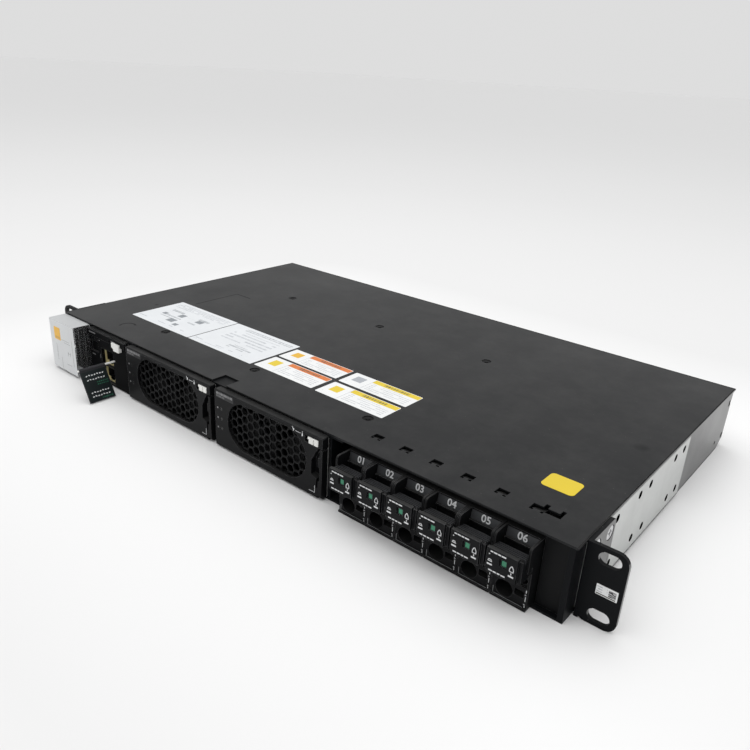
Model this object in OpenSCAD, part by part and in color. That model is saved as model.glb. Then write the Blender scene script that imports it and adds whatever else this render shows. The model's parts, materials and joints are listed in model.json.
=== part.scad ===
// Rack power shelf, one rack unit high: a folded steel tray with a flat cover,
// two slide-in rectifier modules, a monitor module, an AC terminal under a clear
// cover and a row of six plug-in breakers with tilting handles.
// +X is to the right seen from the front, +Y to the back, +Z up.
// The origin is the centre of the tray's underside.

/* [Shelf] */
// Width of the shelf over its side plates
shelf_w = 442; // [440:1:540]
// Depth of the shelf from the front edge of the floor to the rear wall
shelf_d = 250; // [248:1:320]
// Height of the shelf
shelf_h = 43.6; // [43.6:0.2:54]
// Thickness of the folded sheet of the tray, dividers and cover
sheet_t = 1.2; // [0.8:0.1:1.5]
// Thickness of the plain plates that lie on the tray's sides
side_t = 1; // [0.6:0.1:1.4]
// Width of the strips folded in at the front of the tray's sides
flange_w = 3; // [2:0.5:5]

/* [Rack ears] */
// Thickness of the rack ears
ear_t = 2.2; // [1.6:0.1:3]
// Distance from the shelf's side to the middle of a rack slot
rack_slot_x = 11.55; // [10:0.05:14]
// Distance between the upper and lower rack slots
rack_pitch_z = 31.75; // [30:0.05:38]
// Length of a rack slot
rack_slot_l = 11; // [8:0.5:13]
// Height of a rack slot
rack_slot_w = 6.8; // [5:0.1:8]
// Reach of an ear past the shelf's side
ear_reach = 20.4; // [18:0.2:24]
// Distance from the shelf's front edge back to the front of the ears
ear_y = 9.6; // [6:0.2:20]
// Length of the leg that lies on the shelf's side
ear_leg = 28; // [27:0.5:40]

/* [Rectifier bays] */
// Distance from one divider to the next
bay_pitch = 101; // [98:0.5:108]
// Width left of the first divider for the AC terminal and the monitor
service_w = 89.4; // [88:0.2:110]
// Width of a bay that is left beside its rectifier module
rect_gap = 5; // [4:0.5:8]
// Length of a rectifier module's case
rect_l = 205; // [150:1:210]
// How far a rectifier's front stands out of the shelf
bezel_t = 5; // [3:0.5:8]
// Width of a rectifier's front that is left beside its oval air inlet
inlet_side = 25; // [22:0.5:40]
// Height of the oval air inlet
inlet_h = 33.3; // [24:0.1:34]
// Distance between the centres of the honeycomb's cells
cell_pitch = 5.9; // [4:0.1:7.2]
// Thickness of the web between two cells
cell_web = 0.8; // [0.5:0.1:1.2]
// Number of blades on a fan
blade_count = 7; // [5:1:9]

/* [Monitor module] */
// Width of the monitor module
monitor_w = 50.6; // [46:0.2:52]
// Length of the monitor module's case
monitor_l = 205; // [150:1:210]
// Width of a signal socket
jack_w = 15.6; // [14:0.1:16]
// Height of a signal socket
jack_h = 12.6; // [12:0.1:13]
// Length of the pin that carries the tag card
tag_pin_l = 32; // [24:1:40]
// Diameter of the pin that carries the tag card
tag_pin_d = 1.5; // [1.2:0.1:2]
// Width of the tag card along its pin
tag_w = 20.2; // [15:0.2:26]
// Height of the tag card below its pin
tag_h = 25; // [18:0.2:26]
// Lean of the tag card, which lies against the surface below
tag_lean = 28.3; // [26:0.1:60]

/* [AC terminal] */
// Width of the clear cover
ac_cover_w = 35.6; // [30:0.2:37]
// How far the clear cover stands out of the shelf
ac_cover_d = 14.1; // [11:0.1:20]
// Wall of the clear cover
ac_cover_t = 1.5; // [1:0.1:2]
// Number of poles of the terminal
pole_count = 3; // [2:1:4]

/* [Breakers] */
// Number of plug-in breakers
breaker_count = 6; // [4:1:6]
// Distance from one breaker to the next
breaker_pitch = 20.2; // [19:0.1:20.6]
// Gap between two breakers
breaker_gap = 0.4; // [0.2:0.1:0.8]
// Depth of a breaker behind the shelf's front edge
breaker_d = 60; // [40:1:90]
// Thickness of the two cheeks beside a handle
cheek_t = 1.2; // [1:0.1:1.5]
// Diameter of the round cable entry
cable_d = 9.6; // [7:0.1:10]
// Depth of the round cable entry
cable_l = 22; // [10:1:35]
// Diameter of the trunnions that a handle turns on
trunnion_d = 2.4; // [1.8:0.1:3]
// Width of the gap between the last divider and the first breaker
breaker_lead = 11.5; // [8:0.5:14]

/* [Hidden] */
$fn = 48;
run_fit = 0.05;          // radial clearance of a turning fit
slide_gap = 0.3;         // clearance beside and under sliding modules
snug = 0.15;             // clearance of a part that seats in a pocket
cover_t = sheet_t;
wall_h = shelf_h - cover_t;
base_w = shelf_w - 2 * side_t;
front_y = -shelf_d / 2;
rear_y = shelf_d / 2;
inner_x = base_w / 2 - sheet_t;

// dividers: wall, and a top flange that the cover is screwed to
divider_l = 200;
rect_w = bay_pitch - rect_gap;
inlet_l = rect_w - inlet_side;
flange_left = 5;
flange_right = 9;
divider_x = [for (i = [0 : 2]) -shelf_w / 2 + service_w + i * bay_pitch];
screw_dx = 1.4;
screw_y = [30.4, 163];
screw_d = 3;
screw_head_d = 6.4;
screw_head_h = 1;
flange_bottom = wall_h - sheet_t;

// modules stand on the floor and stay clear of the divider flanges
case_z = sheet_t + slide_gap;
case_h = flange_bottom - slide_gap - case_z;
case_t = 0.8;
bezel_z = 0.8;
bezel_h = shelf_h - 1.9 - bezel_z;
bezel_dx = 0.6;
bezel_r = 1.2;
inlet_z = 22.2;
grille_t = 1.3;
grille_y = -3.4;          // front of the grille
grille_rim = 1.6;
grille_band = 1;
light_z = [14.9, 21.9, 28.9];
light_x = -rect_w / 2 + 6.3;
light_d = 1.8;

// lever at the right end of a rectifier's front, turning on a pin at its foot
lever_w = 3.1;
lever_h = 32.6;
lever_pin_d = 2;
lever_pin_l = 3;
lever_r = bezel_t / 2 - snug;
lever_pivot_y = -bezel_t / 2;
lever_pivot_z = bezel_z + 0.3 + lever_r;
lever_x = rect_w / 2 - lever_w;

// sliding lock above the lever
lock_w = 8.2;
lock_h = 4;
lock_travel = 2.4;
lock_x = rect_w / 2 - 3.2 - lock_w;
lock_z = 35.1;
lock_t = 2.6;
lock_lip = 0.7;

// two fans behind the inlet
fan_s = (case_h - 2 * case_t) - 2 * snug;
fan_t = 15;
fan_y = 1.5;
fan_bore = fan_s - 2.4;
fan_hub_d = 17;
fan_shaft_d = 3;
fan_z = case_z + case_h / 2;

// power board with its rear tongue in the backplane's socket
board_t = 1.6;
board_z = case_z + case_t + 4;
tongue_w = 44;
socket_w = tongue_w + 4;
socket_h = 8;
socket_l = 6;
tongue_l = socket_l - 1;        // reaches 1 mm short of the pocket's floor
backplane_y = rect_l + 1 + socket_l;
tongue_back = 1 + tongue_l;
backplane_h = 30;

// monitor module beside the first divider
monitor_x = divider_x[0] - sheet_t / 2 - 0.7 - monitor_w;
monitor_t = 2.5;
jack_x = 16.3;
jack_y = 0.1;             // the sockets' fronts lie behind the monitor's face
jack_z = [case_z + case_t + 0.2, case_z + case_t + jack_h + 1.1];
jack_l = 14;
tag_pin_x = monitor_x + 33.6;
tag_pin_z = 22.7;
tag_t = 0.8;
tag_knuckle_d = tag_pin_d + 1;
tag_start = 10.9;
mboard_x = monitor_x + jack_x + jack_w + 0.1;
mtongue_z = 9;
mtongue_h = 18;
mlock_w = 11.6;
mlock_h = 6;
mlock_travel = 3;
mlock_x = 33.2;
mlock_z = 32.8;

// AC terminal under its clear cover
ac_x = -shelf_w / 2;
ac_z = 2.2;
ac_h = 39.9;
block_d = 30;
block_x = ac_x + side_t + flange_w + slide_gap;
block_w = ac_x + ac_cover_w - ac_cover_t - 0.3 - block_x;
block_h = 34;
block_y = 1;             // front of the barriers between the poles
bar_w = 5;               // copper strips of the AC feed
strip_t = 1.6;

// breaker body between its cheeks, as heights above the tray's underside
breaker_w = breaker_pitch - breaker_gap;
breaker_h = 38.3;
plug_y = -4.4;           // front of the cable block
plug_h = 12.7;
deck_y = -3.2;           // face above the cable block, with the terminal screw
deck_h = 19.4;
well_y = 1;              // back of the well behind the handle
sill_h = 31.4;
cheek_y = -8.8;
cheek_foot = 24.4;
cheek_r = 2.2;
skirt_z = 0.3;
lip_y = -5.4;
lip_h = 1.5;
cable_x = 6.9;
cable_z = 7;
key_w = 5.2;
key_h = 3.8;
key_x = breaker_w - 2.2 - key_w;
key_z = 6.7;
terminal_screw_d = 4.4;
latch_w = 5.6;
latch_y = 13.6;
latch_l = 5.6;
latch_lead = 1.9;
latch_dx = -1.1;

// handle of a breaker
pivot_y = -6;
pivot_z = 25.2;
grip_y = -14.2;
grip_t = 1.8;
grip_w = breaker_w - 3.6;
grip_x = 0.2;
handle_z = 19.9;
handle_top = 33.2;
handle_back = -4.5;
handle_rear_top = 31.6;
handle_gap = 0.2;
rib_pitch = 1.7;
rib_depth = 0.9;
window_w = 2.8;
window_h = 3.4;

function bay_x(n) = (divider_x[n - 1] + divider_x[n]) / 2;
function breaker_x(n) = divider_x[2] + sheet_t / 2 + breaker_lead + (n - 1) * breaker_pitch;

black = "#1b1c1e";
plastic = "#232427";
zinc = "#b9bcbe";

// ---- outlines and how they are laid into the shelf ----

// a front-view outline (x, z) as a plate from y0 back to y0 + t, y counted from the front edge
module facing(y0, t) translate([0, front_y + y0 + t, 0]) rotate([90, 0, 0]) linear_extrude(t) children();

// a side-view outline (y, z) from x0 to x0 + t, y counted from the front edge
module across(x0, t) translate([x0, front_y, 0]) rotate([90, 0, 90]) linear_extrude(t) children();

// a plan outline (x, y) from z0 up to z0 + t, y counted from the front edge
module lying(z0, t) translate([0, front_y, z0]) linear_extrude(t) children();

module rounded(w, h, r) {
    translate([r, 0]) square([w - 2 * r, h]);
    translate([0, r]) square([w, h - 2 * r]);
    for (x = [r, w - r], y = [r, h - r]) translate([x, y]) circle(r);
}

module obround(l, w) {
    square([l - w, w], center = true);
    for (s = [-1, 1]) translate([s * (l - w) / 2, 0]) circle(d = w);
}

// a round bar or hole along Y, from y0 back to y0 + l
module along_y(x, y0, z, d, l) translate([x, front_y + y0, z]) rotate([-90, 0, 0]) cylinder(d = d, h = l);

// a round bar or hole along X, from x0 to x0 + l
module along_x(x0, y, z, d, l) translate([x0, front_y + y, z]) rotate([0, 90, 0]) cylinder(d = d, h = l);

// ---- tray, cover and dividers ----

vent_pitch = 6;
vent_w = 2.4;
vent_h = 24;

module vents(cx, w) {
    count = floor((w - 14) / vent_pitch);
    for (i = [0 : count])
        translate([cx + (i - count / 2) * vent_pitch, shelf_h / 2]) rotate(90) obround(vent_h, vent_w);
}

module chassis_base() color(black) difference() {
    union() {
        lying(0, sheet_t) translate([-base_w / 2, 0]) square([base_w, shelf_d]);
        for (x = [-base_w / 2, inner_x]) across(x, sheet_t) square([shelf_d, wall_h]);
        facing(shelf_d - sheet_t, sheet_t) translate([-base_w / 2, 0]) square([base_w, wall_h]);
        for (x = [-base_w / 2, base_w / 2 - flange_w])
            facing(0, sheet_t) translate([x, 0]) square([flange_w, wall_h]);
    }
    for (n = [1, 2]) facing(shelf_d - sheet_t - 1, sheet_t + 2) vents(bay_x(n), bay_pitch);
    // a small hole and an edge notch at the rear of each side
    for (x = [-base_w / 2 - 1, inner_x - 1]) {
        along_x(x, shelf_d - 18.4, 7.7, 2.6, sheet_t + 2);
        across(x, sheet_t + 2) translate([shelf_d - 2.2, shelf_h - 12]) square([4, 3.4]);
    }
    // the tray's rear lower corners are cropped on the sides
    for (x = [-base_w / 2 - 1, inner_x - 0.01])
        across(x, sheet_t + 1.01) translate([shelf_d, 0]) polygon([[-12, -1], [1, -1], [1, 5], [-2, 5]]);
}

slot_w = 6.6;
slot_l = 5.6;
slot_tab = 1.4;           // how far the two front tabs of a slot reach

module cover_cutouts() {
    for (n = [1 : breaker_count - 1]) translate([breaker_x(n) + breaker_w / 2 + latch_dx - slot_w / 2, latch_y]) {
        translate([0, slot_tab]) square([slot_w, slot_l - slot_tab]);
        for (x = [0, slot_w - 1.9]) translate([x, -0.2]) square([1.9, slot_tab + 0.3]);
    }
    // the last slot is long, with short tabs at its back and front
    x0 = breaker_x(breaker_count) + breaker_w / 2 - 4.9;
    translate([x0, latch_y + 1.4]) square([15.9, slot_l - 1.4]);
    translate([x0 + 5.1, latch_y + 1.4]) square([2.4, 7.5]);
    translate([x0 + 13.9, latch_y + 1.4]) square([2, 7.5]);
    translate([x0, latch_y - 0.3]) square([2, 2]);
    translate([x0 + 6, latch_y - 0.3]) square([1.4, 2]);
    // notch over the middle divider's flange
    translate([divider_x[1] - flange_left, -1]) square([flange_left + flange_right - 0.2, 12]);
}

module top_cover() color(black) difference() {
    union() {
        lying(wall_h, cover_t) difference() {
            translate([-shelf_w / 2, 0]) square([shelf_w, shelf_d]);
            cover_cutouts();
        }
        for (s = [-1, 1])
            across(s * (inner_x - 0.2 - sheet_t / 2) - sheet_t / 2, sheet_t)
                translate([60, wall_h - 5]) square([shelf_d - 70, 5]);
    }
    for (x = divider_x, y = screw_y) translate([x + screw_dx, front_y + y, 0]) {
        cylinder(d = screw_d + 0.4, h = shelf_h + 1);
        translate([0, 0, shelf_h - screw_head_h]) cylinder(d = screw_head_d + 0.6, h = screw_head_h + 1);
    }
}

module divider(i) color(black) difference() {
    union() {
        across(divider_x[i] - sheet_t / 2, sheet_t)
            translate([0, sheet_t]) square([divider_l, wall_h - sheet_t]);
        lying(flange_bottom, sheet_t) translate([divider_x[i] - flange_left, 0])
            square([flange_left + flange_right, divider_l]);
    }
    for (y = screw_y) translate([divider_x[i] + screw_dx, front_y + y, 0])
        cylinder(d = screw_d + 2 * run_fit, h = shelf_h);
}

module cover_screws() color("#4a4b4d") for (x = divider_x, y = screw_y)
    translate([x + screw_dx, front_y + y, 0]) difference() {
        union() {
            translate([0, 0, shelf_h - screw_head_h]) cylinder(d = screw_head_d, h = screw_head_h - 0.3);
            translate([0, 0, flange_bottom]) cylinder(d = screw_d, h = cover_t + sheet_t);
        }
        translate([0, 0, shelf_h - 0.9]) for (a = [0, 90]) rotate(a) cube([3.4, 0.8, 1.4], center = true);
    }

// ---- side plates and ears ----

side_holes = [17, 32.2, 46.5, 76.5, 91.7, 131.2, 146.2];
side_hole_z = [shelf_h / 2 - 12.2, shelf_h / 2 + 14.8];
side_hole_d = 3.8;
side_plate_l = 155;
side_plate_z = 2;

module side_plate(s) color(zinc) difference() {
    across(s > 0 ? base_w / 2 : -shelf_w / 2, side_t) translate([ear_y + ear_t, side_plate_z])
        square([side_plate_l - ear_y - ear_t, wall_h - 0.4 - side_plate_z]);
    for (y = side_holes, z = side_hole_z)
        along_x(s * shelf_w / 2 - side_t - 1, y, z, side_hole_d, 2 * side_t + 2);
}

// an ear is held by four screws, in the first two pairs of the side's holes
ear_screw_y = [side_holes[0], side_holes[1]];
ear_screw_head_d = 7.6;
ear_screw_head_h = 1.2;
ear_screw_sink = 1.4;     // depth of the pocket that a head sits in

module ear(s) color(black) mirror([s > 0 ? 0 : 1, 0, 0]) difference() {
    union() {
        facing(ear_y, ear_t) difference() {
            translate([shelf_w / 2, 0]) rounded(ear_reach, shelf_h - 0.4, 6);
            for (z = [-1, 1])
                translate([shelf_w / 2 + rack_slot_x, shelf_h / 2 + z * rack_pitch_z / 2]) obround(rack_slot_l, rack_slot_w);
        }
        facing(ear_y, ear_t) translate([shelf_w / 2, 3]) square([8, shelf_h - 3.4]);
        across(shelf_w / 2, ear_t) translate([ear_y, 0]) {
            square([10, shelf_h - 0.4]);
            rounded(ear_leg, shelf_h - 0.4, 3);
        }
    }
    // screw holes with pockets for the heads
    for (y = ear_screw_y, z = side_hole_z) {
        along_x(shelf_w / 2 - 1, y, z, side_hole_d, ear_t + 2);
        along_x(shelf_w / 2 + ear_t - ear_screw_sink, y, z, ear_screw_head_d + 0.6, ear_screw_sink + 1);
    }
}

module ear_screws() color("#c4c6c8") for (s = [-1, 1], y = ear_screw_y, z = side_hole_z)
    mirror([s > 0 ? 0 : 1, 0, 0]) difference() {
        union() {
            along_x(shelf_w / 2 + ear_t - ear_screw_sink, y, z, ear_screw_head_d, ear_screw_head_h);
            along_x(base_w / 2, y, z, side_hole_d - 2 * run_fit, side_t + ear_t - ear_screw_sink + 0.2);
        }
        translate([shelf_w / 2 + ear_t - 0.2, front_y + y, z]) for (a = [0, 90]) rotate([a, 0, 0])
            cube([1.4, 4.2, 0.9], center = true);
    }

module blank_panel() color(plastic) {
    x0 = breaker_x(breaker_count) + breaker_w + 0.6;
    x1 = base_w / 2 - sheet_t - snug;
    facing(3, sheet_t) translate([x0, sheet_t + 0.2]) square([x1 - x0, wall_h - sheet_t - 0.4]);
    across(x1 - sheet_t, sheet_t) translate([3, sheet_t + 0.2]) square([22, wall_h - sheet_t - 6]);
}

// ---- AC terminal ----

pole_pitch = block_w / pole_count;
pole_screw_d = 5;

module ac_terminal_block() color(plastic) difference() {
    union() {
        across(block_x, block_w) polygon([[block_y + 4, sheet_t + 0.3], [block_d, sheet_t + 0.3],
            [block_d, sheet_t + block_h], [block_y + 10, sheet_t + block_h], [block_y + 4, sheet_t + block_h - 6]]);
        for (i = [0 : pole_count]) across(block_x + i * (block_w - 1.2) / pole_count, 1.2)
            translate([block_y, sheet_t + 1.2]) square([9, block_h - 4]);
    }
    for (i = [0 : pole_count - 1]) {
        cx = block_x + (i + 0.5) * (block_w - 1.2) / pole_count + 0.6;
        facing(block_y - 1, 14) translate([cx - 3.2, 4.5]) square([6.4, 6.5]);
        along_y(cx, block_y - 1, 23, pole_screw_d + 0.6, 10);
    }
}

module ac_terminal_screws() color("#a9abad") for (i = [0 : pole_count - 1]) {
    cx = block_x + (i + 0.5) * (block_w - 1.2) / pole_count + 0.6;
    difference() {
        along_y(cx, block_y + 4.5, 23, pole_screw_d, 4.5);
        facing(block_y + 4, 1.4) translate([cx, 23]) square([4, 0.9], center = true);
    }
}

module ac_strips() color("#b87333") for (i = [0 : pole_count - 1])
    lying(18, strip_t) translate([block_x + (i + 0.5) * (block_w - 1.2) / pole_count + 0.6 - bar_w / 2, block_d])
        square([bar_w, backplane_y - block_d]);

module ac_cover() color("#dfe6e8", 0.5) difference() {
    facing(-ac_cover_d, ac_cover_d - 0.2) translate([ac_x, ac_z]) rounded(ac_cover_w, ac_h, 1);
    facing(-ac_cover_d + ac_cover_t, ac_cover_d) translate([ac_x + ac_cover_t, ac_z - 1])
        square([ac_cover_w - 2 * ac_cover_t, ac_h + 1 - ac_cover_t]);
    along_y(ac_x + 18.6, -ac_cover_d - 1, 21.6, 3.2, 4);
}

// ---- monitor module ----

module monitor_case() color(zinc) translate([monitor_x, front_y, case_z]) difference() {
    cube([monitor_w, monitor_l, case_h]);
    translate([case_t, -1, case_t]) cube([monitor_w - 2 * case_t, monitor_l + 1 - case_t, case_h - 2 * case_t]);
    // the board's tongue leaves through a slot
    translate([mboard_x - monitor_x - 1, monitor_l - 2, mtongue_z - case_z - 1]) cube([board_t + 2, 4, mtongue_h + 2]);
}

// upright board beside the sockets, with a tongue at its rear
module monitor_board() color("#2f5a3c") across(mboard_x, board_t) {
    translate([5, case_z + case_t + 0.8]) square([monitor_l - 9, case_h - 2 * case_t - 1.6]);
    translate([monitor_l - 5, mtongue_z]) square([5 + tongue_back, mtongue_h]);
}

module monitor_face() color(plastic) difference() {
    union() {
        facing(-monitor_t, monitor_t) translate([monitor_x, bezel_z]) rounded(monitor_w, bezel_h, 0.8);
        facing(-monitor_t - 1.4, 1.5) translate([monitor_x + 0.4, bezel_z + bezel_h - 5]) square([monitor_w - 0.8, 4.6]);
    }
    for (z = jack_z) facing(-monitor_t - 1, monitor_t + 2)
        translate([monitor_x + jack_x - snug, z - snug]) square([jack_w + 2 * snug, jack_h + 2 * snug]);
    // pocket that the lock slides in, undercut so that it can't fall out
    facing(-monitor_t - 3, 4.3) translate([monitor_x + mlock_x - mlock_travel - snug, mlock_z - snug])
        square([mlock_w + mlock_travel + 2 * snug, mlock_h + 2 * snug]);
    facing(-1.2, 2.2) translate([monitor_x + mlock_x - mlock_travel - snug, mlock_z - lock_lip - snug])
        square([mlock_w + mlock_travel + 2 * snug, mlock_h + 2 * lock_lip + 2 * snug]);
    along_y(tag_pin_x, -monitor_t - 1, tag_pin_z, tag_pin_d, monitor_t + 2);
    for (i = [0 : 2]) along_y(monitor_x + 4.5 + 3.6 * i, -monitor_t - 1, 33.8, 1.4, monitor_t + 2);
    // shallow field to the left of the sockets
    facing(-monitor_t - 1, 2.5) translate([monitor_x + 1.4, 23.4]) square([11, 8.6]);
}

// shielded socket, open to the front, with a stepped recess for the plug's catch
module jack(i) color("#b79c55") translate([monitor_x + jack_x, front_y + jack_y, jack_z[i]]) difference() {
    cube([jack_w, jack_l, jack_h]);
    translate([(jack_w - 12) / 2, -1, 3.2]) cube([12, jack_l - 1, 8.2]);
    translate([(jack_w - 6.4) / 2, -1, 1.5]) cube([6.4, jack_l - 2, 2]);
    translate([(jack_w - 4) / 2, -1, 0.7]) cube([4, jack_l - 2, 1]);
}

module monitor_lock() color("#e9e9e6") {
    facing(-5, 4) translate([monitor_x + mlock_x, mlock_z]) rounded(mlock_w, mlock_h, 0.6);
    facing(-1.05, 0.9) translate([monitor_x + mlock_x, mlock_z - lock_lip]) square([mlock_w, mlock_h + 2 * lock_lip]);
}

module tag_pin() color("#9a9c9e") along_y(tag_pin_x, -tag_pin_l, tag_pin_z, tag_pin_d, tag_pin_l + 4);

module tag_card() color(plastic) translate([tag_pin_x, front_y - tag_start - tag_w, tag_pin_z]) rotate([0, -tag_lean, 0])
    difference() {
        union() {
            rotate([-90, 0, 0]) cylinder(d = tag_knuckle_d, h = tag_w);
            translate([-tag_t / 2, 0, -tag_h]) cube([tag_t, tag_w, tag_h]);
        }
        translate([0, -1, 0]) rotate([-90, 0, 0]) cylinder(d = tag_pin_d + 2 * run_fit, h = tag_w + 2);
    }

// ---- rectifier modules; their outlines are centred on the bay ----

module at_bay(n) translate([bay_x(n) + bezel_dx, 0, 0]) children();

module inlet(extra) obround(inlet_l + 2 * extra, inlet_h + 2 * extra);

module finger_recess() polygon([[lever_x + 0.01, 34.2], [lever_x - 2.6, 30.4], [lever_x - 4.6, 25.6],
    [lever_x - 4.6, 17.6], [lever_x - 3, 15.2], [lever_x + 0.01, 14]]);

module rectifier_bezel(n) color(plastic) at_bay(n) difference() {
    intersection() {
        facing(-bezel_t, bezel_t) translate([-rect_w / 2, bezel_z]) rounded(rect_w, bezel_h, 0.8);
        // the front's upper and lower edges are rounded
        across(-rect_w / 2, rect_w) translate([-bezel_t, bezel_z]) {
            rounded(bezel_t * 2, bezel_h, bezel_r);
        }
    }
    facing(-bezel_t - 1, bezel_t + 2) translate([0, inlet_z]) inlet(0);
    facing(grille_y, 1 - grille_y) translate([0, inlet_z]) inlet(grille_rim);
    for (z = light_z) along_y(light_x, -bezel_t - 1, z, light_d + 2 * run_fit, bezel_t + 2);
    // lever: its channel at the right end, the finger recess beside it and the slit below
    facing(-bezel_t - 1, bezel_t + 2) translate([lever_x - snug, bezel_z - 1])
        square([lever_w + snug + 1, lever_h + 2 + snug]);
    facing(-bezel_t - 1, bezel_t) finger_recess();
    facing(-bezel_t - 1, bezel_t - 1) translate([lever_x - 1.2, 7.6]) square([1.3, 8]);
    along_x(lever_x - snug - lever_pin_l, lever_pivot_y, lever_pivot_z, lever_pin_d + 2 * run_fit, lever_pin_l + 1);
    // lock: an open pocket in front and a wider groove behind it
    facing(-bezel_t - 1, bezel_t - 0.8) translate([lock_x - lock_travel - snug, lock_z - snug])
        square([lock_w + lock_travel + 2 * snug, lock_h + 2 * snug]);
    facing(-3, 1.2) translate([lock_x - lock_travel - snug, lock_z - lock_lip - snug])
        square([lock_w + lock_travel + 2 * snug, lock_h + 2 * lock_lip + 2 * snug]);
}

module latch_lever(n) color(plastic) at_bay(n) {
    difference() {
        union() {
            across(lever_x, lever_w) translate([-bezel_t, lever_pivot_z])
                square([bezel_t - snug, lever_h + bezel_z - lever_pivot_z]);
            along_x(lever_x, lever_pivot_y, lever_pivot_z, 2 * lever_r, lever_w);
        }
        // hollow behind the lever's front wall
        across(lever_x - 1, lever_w - 0.4) translate([-bezel_t + 1.6, 17])
            square([bezel_t, lever_h - 18.2]);
    }
    along_x(lever_x - snug - lever_pin_l + 0.3, lever_pivot_y, lever_pivot_z, lever_pin_d, lever_pin_l);
}

module lock_slider(n) color("#e9e9e6") at_bay(n) {
    facing(-bezel_t - 0.4, bezel_t - 1.4 - snug) translate([lock_x, lock_z]) rounded(lock_w, lock_h, 0.5);
    facing(-2.85, 0.9) translate([lock_x, lock_z - lock_lip]) square([lock_w, lock_h + 2 * lock_lip]);
}

module light_pipes(n) color("#8fa79a") at_bay(n) for (z = light_z) along_y(light_x, -bezel_t + 0.2, z, light_d, bezel_t);

// flat-topped hexagonal cells in columns, cut off by a rim that reaches back to the bezel's rear face
module grille(n) color(plastic) at_bay(n) translate([0, 0, inlet_z]) {
    facing(grille_y + 0.05, grille_t) difference() {
        inlet(grille_rim - snug);
        column = cell_pitch * cos(30);
        columns = ceil(inlet_l / 2 / column);
        rows = ceil(inlet_h / 2 / cell_pitch) + 1;
        intersection() {
            inlet(grille_rim - snug - grille_band);
            union() for (i = [-columns : columns], j = [-rows : rows])
                translate([i * column, (j + (i % 2 == 0 ? 0 : 0.5)) * cell_pitch])
                    circle(d = (cell_pitch - cell_web) / cos(30), $fn = 6);
        }
    }
    facing(grille_y + 0.05, -0.05 - grille_y) difference() {
        inlet(grille_rim - snug);
        inlet(grille_rim - snug - grille_band);
    }
}

module rectifier_case(n) color(zinc) at_bay(n) translate([-rect_w / 2, front_y, case_z]) difference() {
    cube([rect_w, rect_l, case_h]);
    translate([case_t, -1, case_t]) cube([rect_w - 2 * case_t, rect_l + 1 - case_t, case_h - 2 * case_t]);
    // opening for the board's tongue, and vents above it
    translate([rect_w / 2 - tongue_w / 2 - 1, rect_l - 2, board_z - case_z - 1])
        cube([tongue_w + 2, 4, board_t + 2]);
    translate([rect_w / 2, rect_l + 1, case_h / 2 + 6]) rotate([90, 0, 0]) linear_extrude(4)
        for (i = [-6 : 6]) translate([i * 6, 0]) rotate(90) obround(20, 3);
}

module fan_frame(n) color("#141516") at_bay(n) difference() {
    union() {
        facing(fan_y, fan_t) difference() {
            translate([-fan_s, fan_z - fan_s / 2]) square([2 * fan_s, fan_s]);
            for (s = [-1, 1]) translate([s * fan_s / 2, fan_z]) circle(d = fan_bore);
        }
        // rear motor plates and their arms
        for (s = [-1, 1]) {
            along_y(s * fan_s / 2, fan_y + fan_t - 3, fan_z, fan_hub_d, 3);
            facing(fan_y + fan_t - 3, 3) translate([s * fan_s / 2, fan_z])
                for (a = [30, 150, 270]) rotate(a) translate([0, -1.2]) square([fan_bore / 2 + 0.5, 2.4]);
        }
    }
    for (s = [-1, 1]) along_y(s * fan_s / 2, fan_y + 4, fan_z, fan_shaft_d + 2 * run_fit, fan_t - 5);
}

module fan_rotor(n, s) color("#1f2022") at_bay(n) translate([s * fan_s / 2, front_y + fan_y, fan_z]) {
    rotate([-90, 0, 0]) translate([0, 0, 0.6]) cylinder(d = fan_hub_d, h = fan_t - 4.2);
    rotate([-90, 0, 0]) translate([0, 0, 1]) cylinder(d = fan_shaft_d, h = fan_t - 2.5);
    intersection() {
        rotate([-90, 0, 0]) translate([0, 0, 1]) cylinder(d = fan_bore - 1.2, h = fan_t - 5);
        for (k = [0 : blade_count - 1]) rotate([0, k * 360 / blade_count, 0])
            translate([fan_bore / 4, fan_t / 2 - 1.6, 0]) rotate([38, 0, 0])
                cube([fan_bore / 2, 14, 1.2], center = true);
    }
}

module power_board(n) color("#2f5a3c") at_bay(n) {
    lying(board_z, board_t) {
        translate([-rect_w / 2 + 4, fan_y + fan_t + 4]) square([rect_w - 8, rect_l - fan_y - fan_t - 8]);
        translate([-tongue_w / 2, rect_l - 5]) square([tongue_w, 5 + tongue_back]);
    }
    // standoffs down to the case floor
    for (x = [-rect_w / 2 + 8, rect_w / 2 - 8], y = [fan_y + fan_t + 10, rect_l - 10])
        translate([x, front_y + y, case_z + case_t]) cylinder(d = 5, h = board_z - case_z - case_t);
    // heat sinks, transformer and storage capacitors
    for (x = [-34, 26]) translate([x, front_y + 40, board_z + board_t]) {
        cube([8, 110, 3]);
        for (i = [0 : 2]) translate([i * 3.3, 0, 3]) cube([1.4, 110, 20]);
    }
    translate([-18, front_y + 100, board_z + board_t]) cube([36, 40, 24]);
    for (x = [-10, 10], y = [50, 75]) translate([x, front_y + y, board_z + board_t]) cylinder(d = 18, h = 26);
}

// ---- backplane and bus bars ----

module backplane_board() color("#2f5a3c") facing(backplane_y, board_t) difference() {
    translate([ac_x + side_t + sheet_t + 1, case_z]) square([divider_x[2] - ac_x - side_t - sheet_t, backplane_h]);
    for (n = [1, 2]) vents(bay_x(n), bay_pitch - 20);
}

module backplane_sockets() color("#1d1e20") {
    for (n = [1, 2]) at_bay(n) rectifier_socket();
    difference() {
        facing(backplane_y - socket_l, socket_l) translate([mboard_x - 3, mtongue_z - 2])
            square([board_t + 6, mtongue_h + 4]);
        facing(backplane_y - socket_l - 1, socket_l) translate([mboard_x - snug, mtongue_z - snug])
            square([board_t + 2 * snug, mtongue_h + 2 * snug]);
    }
}

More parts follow.
